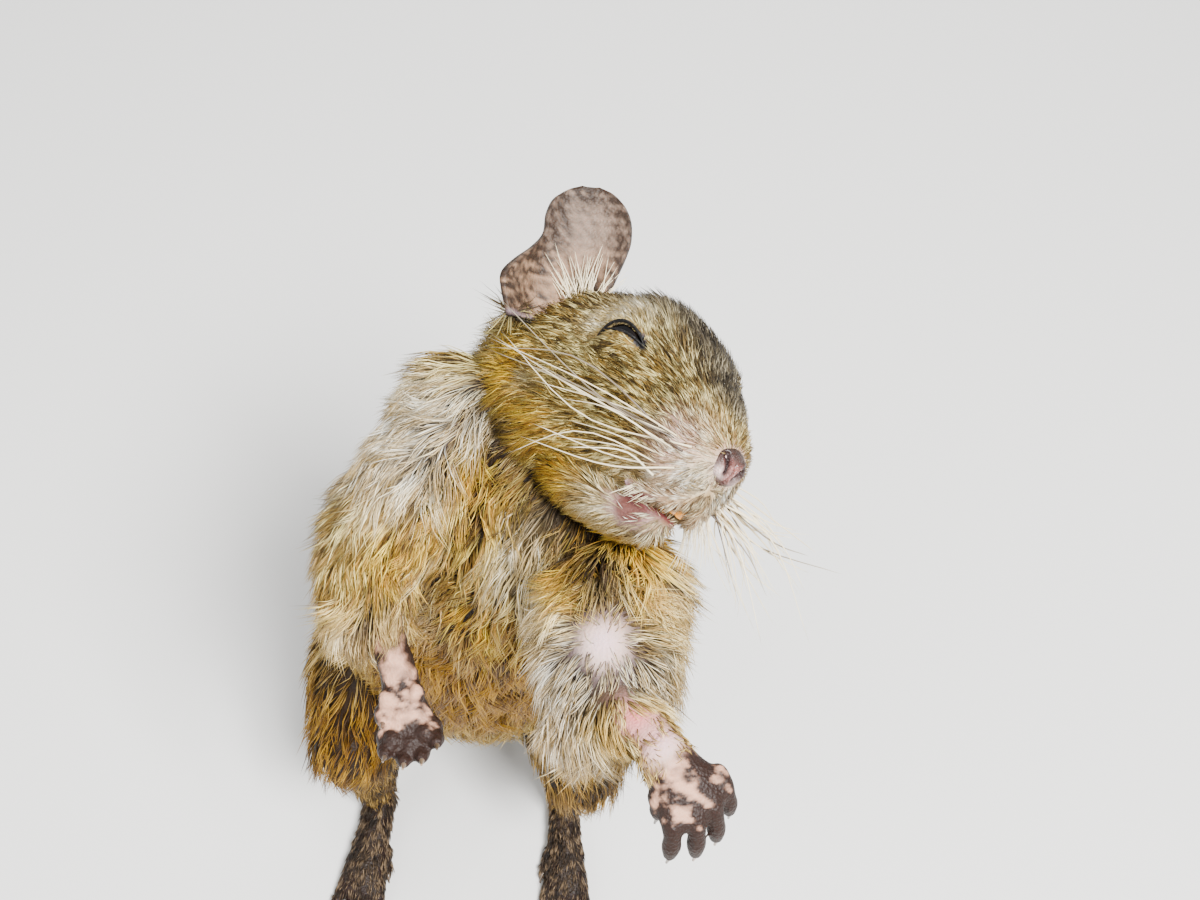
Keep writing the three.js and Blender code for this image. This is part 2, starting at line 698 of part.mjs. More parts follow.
for (const which of ["right", "left"]) {
  add(`forepaw_${which}`, COLOUR.skin, (grow) => pawForm(which, grow));
  add(`forearm_${which}`, COLOUR.limb, (grow) => solid(tube(FOREARM[which], { grow })));
  const armOptions = { side: SHOULDER_SIDE };
  add(`upper_arm_${which}`, COLOUR.limb, (grow) => solid(tube(UPPER_ARM[which], { grow, ...armOptions })));
  add(`hind_foot_${which}`, COLOUR.dark, (grow) => onGround(footForm(which, grow)));
  add(`shank_${which}`, COLOUR.back, (grow) => onGround(solid(tube(SHANK[which], { grow }))));
  add(`thigh_${which}`, COLOUR.back, (grow) => solid(tube(THIGH[which], { grow })));
}
for (const [name, [from, to]] of Object.entries(TAIL_PARTS)) {
  const isTip = to === 1;
  const range = [from, isTip ? 1 : to + RUN_ON / TAIL_LENGTH];
  const locks = isTip ? brushLocks() : [];
  const make = (grow) => onGround(join(solid(tailForm(range, grow)), ...locks));
  add(name, isTip ? COLOUR.dark : COLOUR.back, make);
}
for (const [name, [from, to]] of Object.entries(TRUNK_PARTS)) {
  const range = { from, to: to === 1 ? 1 : to + RUN_ON / TRUNK_LENGTH };
  const shape = {
    ...range,
    sides: TRUNK_SIDES,
    steps: round(TRUNK_STEPS * (to - from)) + 1,
    side: HIP_SIDE,
    sideEnd: SHOULDER_SIDE,
    roundStart: from === 0,
    roundEnd: to === 1,
    bulging: to === 1 ? NAPE_BULGE : 1,
  };
  add(name, name === "rump" ? COLOUR.back : COLOUR.belly, (grow) => solid(tube(TRUNK, { grow, ...shape })));
}

// The largest closed surface of a solid, as a mesh
function meshOf({ name, colour, roughness }, made) {
  const pieces = made.decompose().sort((a, b) => b.volume() - a.volume());
  const { vertProperties, triVerts } = pieces[0].getMesh();
  const geometry = new THREE.BufferGeometry();
  geometry.setAttribute("position", new THREE.BufferAttribute(vertProperties, 3));
  geometry.setIndex(new THREE.BufferAttribute(triVerts, 1));
  geometry.computeVertexNormals();
  const material = new THREE.MeshStandardMaterial({ color: colour, roughness, metalness: 0 });
  const mesh = new THREE.Mesh(geometry, material);
  mesh.name = name;
  return mesh;
}

const degu = new THREE.Group();
degu.name = "degu";
const keptClear = [];
for (const part of parts) {
  degu.add(meshOf(part, cut(part.make(0), ...keptClear)));
  keptClear.push(part.make(GAP));
}

export default degu;
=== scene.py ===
"""Dresses the degu model: one skin over its solids, a coat of mesh tufts, eyes, teeth, nose, claws
and whiskers, on a pale floor in soft light. Lengths are in millimetres in the part's own frame
(+Z up, the animal faces -Y, its right is at -X) until a mesh is made, which is in metres."""

import logging
import math
from dataclasses import dataclass, field
from enum import Enum

import bpy
import numpy as np
from bpy.types import Material, NodeTree, Object
from mathutils import Matrix, Vector
from numpy.random import Generator


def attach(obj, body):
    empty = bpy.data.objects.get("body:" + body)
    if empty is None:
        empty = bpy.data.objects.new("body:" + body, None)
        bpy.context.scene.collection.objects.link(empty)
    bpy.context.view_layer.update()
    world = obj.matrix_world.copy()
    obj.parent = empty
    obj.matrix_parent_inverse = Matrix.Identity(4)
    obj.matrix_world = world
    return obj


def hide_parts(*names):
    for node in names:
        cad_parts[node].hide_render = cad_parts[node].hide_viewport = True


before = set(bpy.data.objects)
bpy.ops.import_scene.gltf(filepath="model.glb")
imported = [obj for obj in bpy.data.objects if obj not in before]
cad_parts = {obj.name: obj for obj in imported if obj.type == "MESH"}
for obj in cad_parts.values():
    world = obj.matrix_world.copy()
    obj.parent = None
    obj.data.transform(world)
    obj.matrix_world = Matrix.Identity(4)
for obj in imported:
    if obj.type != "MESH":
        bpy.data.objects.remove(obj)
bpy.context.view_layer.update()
MM = 0.001

logging.basicConfig(level=logging.INFO, format="%(message)s")
log = logging.getLogger("degu")

Place = tuple[float, float, float]
Colour = tuple[int, int, int]
Array = np.ndarray
Surface = tuple[Array, Array]


class Side(Enum):
    """A side of the animal, with the sign of its direction across the head."""

    RIGHT = -1
    LEFT = 1

    @property
    def word(self) -> str:
        """The side's name as the solids write it."""
        return self.name.lower()

    @property
    def flip(self) -> Array:
        """What takes a place on the left of the head to this side."""
        return np.array([self.value, 1, 1])


# Shapes as whole arrays


def unit(v: Array) -> Array:
    """Vectors divided by their own lengths, along the last axis."""
    return v / np.maximum(np.linalg.norm(v, axis=-1, keepdims=True), 1e-9)


def dot(a: Array, b: Array) -> Array:
    """Sums of products along the last axis, kept as a column."""
    return np.sum(a * b, axis=-1, keepdims=True)


def smooth(low: float, high: float, x: Array) -> Array:
    """Goes from 0 at low to 1 at high as three s squared less two s cubed."""
    s = np.clip((x - low) / (high - low), 0, 1)
    return s * s * (3 - 2 * s)


def spline(rows: Array, t: Array) -> Array:
    """Smooth curve through rows of numbers, each stretch a cubic whose slopes are half the
    differences of the rows on either side.

    Args:
        rows: one row for each station.
        t: places along it from 0 to 1.

    Returns:
        One row for each place.
    """
    rows = np.asarray(rows, float)
    last = len(rows) - 1
    at = np.clip(np.asarray(t, float), 0, 1) * last
    i = np.minimum(at.astype(int), last - 1)
    f = (at - i)[..., None]
    p, q = rows[i], rows[i + 1]
    before = np.where(i[..., None] > 0, rows[np.maximum(i - 1, 0)], 2 * p - q)
    after = np.where(i[..., None] < last - 1, rows[np.minimum(i + 2, last)], 2 * q - p)
    bend = 2 * before - 5 * p + 4 * q - after
    return p + 0.5 * f * (q - before + f * (bend + f * (3 * (p - q) + after - before)))


def ripple(points: Array, size: float, seed: int, waves: int = 7, calm: float = 1.4) -> Array:
    """Smooth noise: the sum of sine waves in random directions, over the root of their number.

    Args:
        points: places.
        size: length of a wave.
        seed: picks the directions.
        waves: how many are added.
        calm: divides it, so that it is mostly from -1 to 1.

    Returns:
        One value for each place.
    """
    rng = np.random.default_rng(seed)
    directions = unit(rng.normal(size=(waves, 3))) * rng.uniform(0.7, 1.5, (waves, 1))
    phases = rng.uniform(0, 2 * math.pi, waves)
    total = np.sin(points @ directions.T * (2 * math.pi / size) + phases).sum(-1)
    return total / math.sqrt(waves) / calm


def bell(points: Array, middle: Place, radius: float) -> Array:
    """The exponential of minus the squared share of a radius round a place."""
    return np.exp(-((points - np.array(middle)) ** 2).sum(-1) / radius**2)


def folded(points: Array) -> Array:
    """Points of the head's frame with those on its right moved to its left."""
    return np.abs(points) * np.array([1, 0, 0]) + points * np.array([0, 1, 1])


def tube_faces(rings: int, sides: int) -> Array:
    """Triangles of rings of points closed round, with a fan to a pole at each end.

    Args:
        rings: how many.
        sides: points in a ring.

    Returns:
        Triangles, where points are the start pole, the rings in order and the end pole.
    """
    r, s = np.meshgrid(np.arange(rings - 1), np.arange(sides), indexing="ij")
    a, b = 1 + r * sides + s, 1 + r * sides + (s + 1) % sides
    wall = np.stack([a, b, b + sides, a, b + sides, a + sides], -1).reshape(-1, 3)
    one, last = np.arange(sides), 1 + (rings - 1) * sides
    start = np.stack([0 * one, 1 + (one + 1) % sides, 1 + one], -1)
    end = np.stack([0 * one + last + sides, last + one, last + (one + 1) % sides], -1)
    return np.concatenate([start, wall, end])


def closed_tube(rings: Array, start: Array, end: Array) -> Surface:
    """A closed surface from an array of rings and its two poles, its faces turned so that the
    volume, a sixth of the sum of their corners' triple products, is above zero.

    Args:
        rings: rings, points of a ring, coordinates.
        start: first pole.
        end: last pole.

    Returns:
        Points and triangles.
    """
    points = np.concatenate([start[None], rings.reshape(-1, 3), end[None]])
    faces = tube_faces(*rings.shape[:2])
    corners = points[faces]
    volume = np.einsum("ij,ij->", corners[:, 0], np.cross(corners[:, 1], corners[:, 2]))
    return points, faces if volume > 0 else faces[:, ::-1]


@dataclass(frozen=True)
class Pose:
    """A place and turn: a point is turned about Y, then X, then Z, and moved."""

    place: Place = (0.0, 0.0, 0.0)
    turn: float = 0.0
    lift: float = 0.0
    roll: float = 0.0

    def matrix(self) -> Array:
        """The turn as three rows: the products of the usual turns about each axis."""
        (sz, sx, sy), (cz, cx, cy) = (
            [f(math.radians(a)) for a in (self.turn, -self.lift, self.roll)] for f in (math.sin, math.cos)
        )
        about_z = np.array([[cz, -sz, 0], [sz, cz, 0], [0, 0, 1]])
        about_x = np.array([[1, 0, 0], [0, cx, -sx], [0, sx, cx]])
        about_y = np.array([[cy, 0, sy], [0, 1, 0], [-sy, 0, cy]])
        return about_z @ about_x @ about_y

    def out(self, points: Array) -> Array:
        """Points of this pose's own frame, in the part's."""
        return np.asarray(points, float) @ self.matrix().T + np.array(self.place)

    def inside(self, points: Array) -> Array:
        """Points of the part's frame, in this pose's own."""
        return (np.asarray(points, float) - np.array(self.place)) @ self.matrix()

    def vectors(self, directions: Array) -> Array:
        """Directions of this pose's own frame, in the part's."""
        return np.asarray(directions, float) @ self.matrix().T


NOWHERE = Pose()
HEAD_POSE = Pose((62, 6, 160), turn=43.4, lift=30, roll=59)


@dataclass(frozen=True)
class Loft:
    """A form of elliptic sections carried along a smooth path, each end a dome.

    Rows are x, y, z, half-width and half-depth. The inset is the depth of the coat at its start and
    its end, by which the skin lies inside the outline.
    """

    rows: tuple[tuple[float, ...], ...]
    side: Place = (1.0, 0.0, 0.0)
    side_end: Place | None = None
    inset: tuple[float, float] = (0.0, 0.0)
    pose: Pose = NOWHERE

    def section(self, t: Array, near: float = 0.004, thinnest: float = 0.2) -> tuple[Array, ...]:
        """Sections of the form: the spline of its rows, forward from the difference of the path a
        little ahead and behind, and across square to it.

        Args:
            t: places along it from 0 to 1.
            near: how far ahead and behind the direction is taken.
            thinnest: least half-size.

        Returns:
            Middle, forward, across, deep and the two half-sizes, in its pose.
        """
        values = spline(self.rows, t)
        ahead = spline(self.rows, np.minimum(t + near, 1))[:, :3]
        behind = spline(self.rows, np.maximum(t - near, 0))[:, :3]
        forward = unit(ahead - behind)
        start, end = np.array(self.side), np.array(self.side_end or self.side)
        across = start + (end - start) * t[:, None]
        across = unit(across - forward * dot(across, forward))
        inset = self.inset[0] + (self.inset[1] - self.inset[0]) * t[:, None]
        sizes = np.maximum(values[:, 3:5] - inset, thinnest)
        turned = (self.pose.vectors(v) for v in (forward, across, np.cross(across, forward)))
        return self.pose.out(values[:, :3]), *turned, sizes

    def surface(self, steps: int = 40, sides: int = 40, dome: int = 7) -> Surface:
        """The closed form: at each place an ellipse of cosine times across and sine times deep, and
        at each end rings that shrink as the cosine and move on as the sine of a quarter turn.

        Args:
            steps: rings along it.
            sides: points in a ring.
            dome: rings in each end.

        Returns:
            Points and triangles.
        """
        angles = np.linspace(0, math.pi / 2, dome + 1)[1:-1]
        t = np.concatenate([angles * 0, np.linspace(0, 1, steps + 1), angles * 0 + 1])
        shrink = np.concatenate([np.cos(angles[::-1]), np.ones(steps + 1), np.cos(angles)])[:, None, None]
        move = np.concatenate([-np.sin(angles[::-1]), np.zeros(steps + 1), np.sin(angles)])[:, None]
        middle, forward, across, deep, sizes = self.section(t)
        bulge = sizes.min(-1, keepdims=True)
        middle = middle + forward * bulge * move
        round_it = np.linspace(0, 2 * math.pi, sides, endpoint=False)[None, :, None]
        width, depth = sizes[:, None, :1], sizes[:, None, 1:]
        rings = middle[:, None] + shrink * (
            across[:, None] * width * np.cos(round_it) + deep[:, None] * depth * np.sin(round_it)
        )
        ends = self.section(np.array([0.0, 1.0]))
        tips = ends[0] + ends[1] * ends[4].min(-1, keepdims=True) * np.array([[-1], [1]])
        return closed_tube(rings, tips[0], tips[1])

    def nearest(self, points: Array, samples: int = 72) -> tuple[Array, ...]:
        """Where points lie on the form: the nearest section, the angle of the shares of its
        half-sizes, and the root of the sum of the squared shares.

        Args:
            points: places.
            samples: sections that are tried.

        Returns:
            Place along, angle round, reach (1 on the surface) and the forward direction there.
        """
        t = np.linspace(0, 1, samples)
        middle, forward, across, deep, sizes = self.section(t)
        gaps = (points**2).sum(-1)[:, None] - 2 * points @ middle.T + (middle**2).sum(-1)
        best = gaps.argmin(1)
        off = points - middle[best]
        a = dot(off, across[best])[:, 0]
        b = dot(off, deep[best])[:, 0]
        c = dot(off, forward[best])[:, 0]
        wide, thick = sizes[best].T
        reach = np.sqrt((a / wide) ** 2 + (b / thick) ** 2 + (c / np.minimum(wide, thick)) ** 2)
        return t[best], np.arctan2(b / thick, a / wide), reach, forward[best]


def rod(points: Array, radii: tuple[float, ...] | Array, pose: Pose = NOWHERE) -> Loft:
    """A round form through a few points, with one radius for each."""
    rows = tuple((*map(float, p), float(r), float(r)) for p, r in zip(points, radii, strict=True))
    return Loft(rows, side=(0.8, 0.1, 0.6), pose=pose)


def ball(middle: Array, stretch: Array, radius: float, pose: Pose = NOWHERE) -> Loft:
    """A ball, made a little longer by a stretch to both sides of its middle."""
    return rod(np.array([middle - stretch, middle + stretch]), (radius, radius), pose)


def thin_tubes(paths: Array, radius: Array, sides: int = 3) -> Surface:
    """Many tapered tubes at once, each a ring of points round every place of its path but the last,
    which is its tip. A flat cap closes the root.

    Args:
        paths: tubes, places along one, coordinates.
        radius: tubes, places along one.
        sides: points in a ring.

    Returns:
        Points and triangles.
    """
    count, places = paths.shape[:2]
    forward = unit(np.gradient(paths, axis=1))
    across = unit(np.cross(forward, np.array([0.31, 0.87, 0.38])))
    deep = np.cross(across, forward)
    angles = np.linspace(0, 2 * math.pi, sides, endpoint=False)
    circle = across[:, :, None] * np.cos(angles)[:, None] + deep[:, :, None] * np.sin(angles)[:, None]
    rings = (paths[:, :, None] + circle * radius[:, :, None, None])[:, :-1].reshape(count, -1, 3)
    points = np.concatenate([rings, paths[:, -1:]], 1)
    corner = np.arange(1, sides - 1)
    cap = np.stack([0 * corner, corner + 1, corner], -1)
    faces = np.concatenate([cap, tube_faces(places - 1, sides)[sides:] - 1])
    offsets = np.arange(count)[:, None, None] * points.shape[1]
    return points.reshape(-1, 3), (faces[None] + offsets).reshape(-1, 3)


def tube_places(places: int, sides: int = 3) -> Array:
    """Which place of its path each point of a thin tube belongs to."""
    return np.repeat(np.arange(places), [sides] * (places - 1) + [1])


def gather(surfaces: list[Surface]) -> Surface:
    """Several surfaces as one.

    Args:
        surfaces: points and triangles of each.

    Returns:
        Points and triangles.
    """
    starts = np.cumsum([0] + [len(points) for points, _ in surfaces[:-1]])
    points = np.concatenate([points for points, _ in surfaces])
    moved = [faces + start for (_, faces), start in zip(surfaces, starts, strict=True)]
    return points, np.concatenate(moved)


# Meshes and objects


def put_mesh(name: str, points: Array, faces: Array) -> Object:
    """A mesh object in metres, its object at the origin, from points in millimetres.

    Args:
        name: of the piece.
        points: in millimetres.
        faces: triangles.

    Returns:
        The new object.
    """
    mesh = bpy.data.meshes.new(name)
    mesh.vertices.add(len(points))
    mesh.vertices.foreach_set("co", (np.asarray(points) * MM).astype(np.float32).ravel())
    mesh.loops.add(faces.size)
    mesh.loops.foreach_set("vertex_index", faces.astype(np.int32).ravel())
    mesh.polygons.add(len(faces))
    mesh.polygons.foreach_set("loop_start", np.arange(0, faces.size, 3, dtype=np.int32))
    mesh.polygons.foreach_set("use_smooth", np.ones(len(faces), bool))
    mesh.update(calc_edges=True)
    made = bpy.data.objects.new(name, mesh)
    bpy.context.scene.collection.objects.link(made)
    return made


def read_mesh(made: Object) -> Surface:
    """The surface of an object with its modifiers applied.

    Args:
        made: the object.

    Returns:
        Points in millimetres, and triangles.
    """
    evaluated = made.evaluated_get(bpy.context.evaluated_depsgraph_get())
    mesh = evaluated.to_mesh()
    mesh.calc_loop_triangles()
    points = np.empty(len(mesh.vertices) * 3, np.float32)
    mesh.vertices.foreach_get("co", points)
    faces = np.empty(len(mesh.loop_triangles) * 3, np.int32)
    mesh.loop_triangles.foreach_get("vertices", faces)
    evaluated.to_mesh_clear()
    return points.reshape(-1, 3).astype(float) / MM, faces.reshape(-1, 3).astype(int)


def take_away(made: Object) -> None:
    """Removes an object and its mesh."""
    mesh = made.data
    bpy.data.objects.remove(made)
    bpy.data.meshes.remove(mesh)


def melt(surfaces: list[Surface], cell: float, rounds: int) -> Surface:
    """Several closed surfaces made one, on a grid of small cells, and softened.

    Args:
        surfaces: points and triangles of each.
        cell: size of a cell.
        rounds: of softening.

    Returns:
        Points and triangles.
    """
    whole = put_mesh("melt", *gather(surfaces))
    remesh = whole.modifiers.new("one surface", "REMESH")
    remesh.mode = "VOXEL"
    remesh.voxel_size = cell * MM
    soften = whole.modifiers.new("soften", "SMOOTH")
    soften.iterations = rounds
    soften.factor = 0.5
    made = read_mesh(whole)
    take_away(whole)
    return made


class Joining(Enum):
    """Ways to combine closed surfaces, as Blender names them."""

    JOIN = "UNION"
    CUT = "DIFFERENCE"


def combine(base: Surface, others: list[Surface], joining: Joining) -> Surface:
    """A closed surface joined with others, or with others cut out of it.

    Args:
        base: its points and triangles.
        others: points and triangles of each of the others.
        joining: whether they are joined on or cut out.

    Returns:
        Points and triangles.
    """
    whole = put_mesh("combine", *base)
    tools = [put_mesh("tool", *other) for other in others]
    for tool in tools:
        step = whole.modifiers.new("step", "BOOLEAN")
        step.operation = joining.value
        step.solver = "MANIFOLD"
        step.object = tool
    made = read_mesh(whole)
    for extra in (whole, *tools):
        take_away(extra)
    return made


def point_normals(points: Array, faces: Array) -> Array:
    """Directions out of a surface at its points: sums of the crossed sides of the faces there.

    Args:
        points: of the surface.
        faces: its triangles.

    Returns:
        A direction of length 1 for each point.
    """
    one, two, three = (points[faces[:, corner]] for corner in range(3))
    crossed = np.cross(two - one, three - one)
    total = np.zeros_like(points)
    for corner in faces.T:
        total += np.stack([np.bincount(corner, crossed[:, axis], len(points)) for axis in range(3)], -1)
    return unit(total)


def tint(made: Object, colours: Array) -> None:
    """Stores a colour for each point of a mesh, as the finishes read it."""
    layer = made.data.color_attributes.new("tint", "FLOAT_COLOR", "POINT")
    four = np.concatenate([colours, np.ones((len(colours), 1))], 1)
    layer.data.foreach_set("color", four.astype(np.float32).ravel())


def dress(made: Object, finish: Material, slot: str, *nodes: str) -> Object:
    """Gives a piece its finish and its place in the frame.

    Args:
        made: the piece.
        finish: its material.
        slot: the record's material slot; not used.
        nodes: the solids that it stands for.

    Returns:
        The same piece.
    """
    made.data.materials.append(finish)
    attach(made, "root")
    if nodes:
        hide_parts(*nodes)
    log.info("%s: %d points, %d faces", made.name, len(made.data.vertices), len(made.data.polygons))
    return made


# Forms of the animal as in the solids, with the depth of the coat, by which the skin lies inside


COAT = 3.0
SHOULDER_SIDE = (0.8, -0.58, -0.14)
TRUNK = Loft(
    (
        (21, 45, 22, 18, 15), (21, 43, 36, 27.5, 23), (21, 38, 55, 30.5, 28),
        (23, 32, 76, 29.5, 28), (26.5, 26, 95, 26.5, 26), (31, 21, 112, 23.5, 22.5),
        (34.5, 20.5, 126, 21.5, 20), (36, 24, 134, 19.5, 18.5), (37, 28, 141, 16.5, 16),
    ),
    side=(1, 0.08, 0),
    side_end=SHOULDER_SIDE,
    inset=(COAT, COAT),
)
UPPER_ARM = {
    Side.RIGHT: Loft(
        ((24, 25, 141, 13, 12), (12, 10, 130, 10.5, 10), (10, -0.2, 124, 7.5, 7.5)),
        side=SHOULDER_SIDE,
        inset=(3.2, 2.0),
    ),
    Side.LEFT: Loft(
        ((48, 3, 130, 12, 11), (48, -7, 126, 12, 10.5), (46.5, -13.5, 121.5, 8.8, 8.8)),
        side=SHOULDER_SIDE,
        inset=(2.6, 2.4),
    ),
}
FOREARM = {
    Side.RIGHT: Loft(
        ((10.6, -0.4, 124, 4.3, 4.7), (14.2, -6.0, 121.6, 3.5, 3.4), (17.0, -11.4, 119.0, 3.3, 2.9)),
        inset=(0.8, 0.1),
    ),
    Side.LEFT: Loft(
        ((46.5, -13.5, 121.5, 7.2, 7), (51.6, -17.4, 128, 5.6, 5.2), (57.4, -24.2, 132.6, 3.3, 2.9)),
        inset=(2.0, 0.1),
    ),
}
THIGH = {
    Side.RIGHT: Loft(
        ((4, 38, 48, 18, 19), (0, 25, 45, 16, 17.5), (-2.5, 12, 41, 10.5, 11)),
        inset=(COAT, 2.2),
    ),
    Side.LEFT: Loft(
        ((38, 38, 48, 18, 19), (43.5, 25, 45, 16, 17.5), (47, 12, 41, 10.5, 11)),
        inset=(COAT, 2.2),
    ),
}
SHANK = {
    Side.RIGHT: Loft(
        ((-2.5, 13, 39, 10, 9.5), (-1.4, 17, 23, 7.6, 8.6), (-0.6, 15.2, 9, 4.8, 5.2)),
        inset=(2.2, 0.4),
    ),
    Side.LEFT: Loft(
        ((47, 13, 39, 10, 9.5), (45.5, 20, 23, 7.6, 8.6), (44, 19.2, 9, 4.8, 5.2)),
        inset=(2.2, 0.4),
    ),
}
TAIL = Loft(
    (
        (22, 52, 22, 4.6, 4.6), (22, 61, 9.9, 4.3, 4.3), (22, 72, 3.7, 4.0, 4.0),
        (22.3, 88, 3.3, 3.7, 3.7), (22.6, 107, 3.0, 3.3, 3.3), (23.0, 126, 2.6, 3.0, 3.0),
        (23.3, 144, 2.2, 2.7, 2.7), (23.3, 160, 1.9, 2.4, 2.4),
    ),
    inset=(1.4, 0.8),
)


# Finishes


def linear(red: int, green: int, blue: int) -> tuple[float, float, float]:
    """A screen colour from 0 to 255 as the light that it stands for."""
    shares = (red / 255, green / 255, blue / 255)
    return tuple(c / 12.92 if c <= 0.04045 else ((c + 0.055) / 1.055) ** 2.4 for c in shares)


class Shade(Enum):
    """Colours of hair: the dark of its base, the middle, the light and the tip."""

    AGOUTI = ((24, 15, 4), (146, 112, 36), (254, 234, 154), (44, 31, 13))
    CROWN = ((30, 26, 24), (108, 94, 66), (206, 192, 158), (42, 36, 32))
    FLANK = ((24, 15, 5), (104, 74, 24), (196, 156, 78), (48, 34, 16))
    OCHRE = ((54, 30, 0), (160, 108, 0), (212, 158, 14), (216, 162, 24))
    GOLD = ((40, 22, 2), (206, 146, 8), (253, 216, 66), (253, 220, 88))
    STRAW = ((60, 42, 14), (218, 170, 54), (254, 238, 158), (252, 214, 84))
    THROAT = ((14, 7, 0), (210, 146, 4), (254, 212, 54), (253, 220, 80))
    PALE = ((66, 56, 48), (216, 198, 160), (255, 253, 242), (240, 190, 80))
    BUFF = ((84, 64, 32), (190, 156, 84), (248, 228, 168), (240, 196, 96))
    CREAM = ((140, 116, 66), (228, 204, 140), (255, 246, 214), (255, 246, 220))
    MUZZLE = ((130, 98, 70), (214, 176, 134), (252, 238, 214), (250, 232, 204))
    # The darkest shade is dark hair, and along the throat painted shadow.
    DARK = ((8, 6, 5), (40, 30, 20), (90, 70, 50), (16, 12, 9))
    FOOT = ((18, 13, 9), (72, 56, 40), (142, 118, 90), (46, 36, 28))

    def light(self) -> Array:
        """The four colours as light."""
        return np.array([linear(*c) for c in self.value])


@dataclass(frozen=True)
class Patch:
    """A round marking on the coat: how strongly a shade shows falls off as a bell round a place."""

    shade: Shade
    place: Place
    radius: float
    strength: float = 1.0
    pose: Pose = NOWHERE

    def weight(self, points: Array) -> Array:
        """Strength times the bell of the distance."""
        return self.strength * bell(self.pose.inside(points), self.place, self.radius)


@dataclass(frozen=True)
class PlainFinish:
    """An even finish of one colour."""

    name: str
    colour: Colour
    roughness: float

    def material(self) -> Material:
        """A material with these values on its shader."""
        finish = bpy.data.materials.new(self.name)
        finish.use_nodes = True
        shader = finish.node_tree.nodes["Principled BSDF"]
        shader.inputs["Base Color"].default_value = (*linear(*self.colour), 1)
        shader.inputs["Roughness"].default_value = self.roughness
        return finish


PORES = "pores"


def pore_group(deepest: float = 0.0003) -> NodeTree:
    """Pores and creases: the distances of a cell pattern and a fine noise of the place on the
    object, added as a height, and turned into a normal by a bump.

    Args:
        deepest: height in metres of a bump of full depth.

    Returns:
        The node group, with a scale and a depth.
    """
    group = bpy.data.node_groups.new(PORES, "ShaderNodeTree")
    group.interface.new_socket("Scale", in_out="INPUT", socket_type="NodeSocketFloat")
    group.interface.new_socket("Depth", in_out="INPUT", socket_type="NodeSocketFloat")
    group.interface.new_socket("Normal", in_out="OUTPUT", socket_type="NodeSocketVector")
    nodes, links = group.nodes, group.links
    enter, leave = nodes.new("NodeGroupInput"), nodes.new("NodeGroupOutput")
    place = nodes.new("ShaderNodeTexCoord")
    cells, grain = nodes.new("ShaderNodeTexVoronoi"), nodes.new("ShaderNodeTexNoise")
    height, bump = nodes.new("ShaderNodeMath"), nodes.new("ShaderNodeBump")
    height.operation = "ADD"
    bump.inputs["Distance"].default_value = deepest
    for texture in (cells, grain):
        links.new(place.outputs["Object"], texture.inputs["Vector"])
        links.new(enter.outputs["Scale"], texture.inputs["Scale"])
    links.new(cells.outputs["Distance"], height.inputs[0])
    links.new(grain.outputs["Fac"], height.inputs[1])
    links.new(height.outputs["Value"], bump.inputs["Height"])
    links.new(enter.outputs["Depth"], bump.inputs["Strength"])
    links.new(bump.outputs["Normal"], leave.inputs["Normal"])
    return group


@dataclass(frozen=True)
class Finish:
    """A finish that takes its colour from the piece's own points, with pores where it has depth.
    Flesh is the share of light that goes into it, and reach how far in metres, times its shares in
    red, green and blue."""

    name: str
    roughness: float
    gloss: float = 0.4
    wet: float = 0.0
    wet_roughness: float = 0.05
    flesh: float = 0.0
    reach: float = 0.001
    reach_shares: Place = (1.0, 0.35, 0.2)
    pores: float = 2200.0
    depth: float = 0.0

    def material(self) -> Material:
        """A material that reads the colour kept with each point and the pore group's normal.

        Returns:
            The material.
        """
        finish = bpy.data.materials.new(self.name)
        finish.use_nodes = True
        tree = finish.node_tree
        shader = tree.nodes["Principled BSDF"]
        colour = tree.nodes.new("ShaderNodeAttribute")
        colour.attribute_name = "tint"
        tree.links.new(colour.outputs["Color"], shader.inputs["Base Color"])
        if self.depth:
            creases = tree.nodes.new("ShaderNodeGroup")
            creases.node_tree = bpy.data.node_groups[PORES]
            creases.inputs["Scale"].default_value = self.pores
            creases.inputs["Depth"].default_value = self.depth
            tree.links.new(creases.outputs["Normal"], shader.inputs["Normal"])
        shader.inputs["Roughness"].default_value = self.roughness
        shader.inputs["Specular IOR Level"].default_value = self.gloss
        shader.inputs["Coat Weight"].default_value = self.wet
        shader.inputs["Coat Roughness"].default_value = self.wet_roughness
        if self.flesh:
            shader.inputs["Subsurface Weight"].default_value = self.flesh
            shader.inputs["Subsurface Radius"].default_value = self.reach_shares
            shader.inputs["Subsurface Scale"].default_value = self.reach
        return finish


# Sub-assemblies


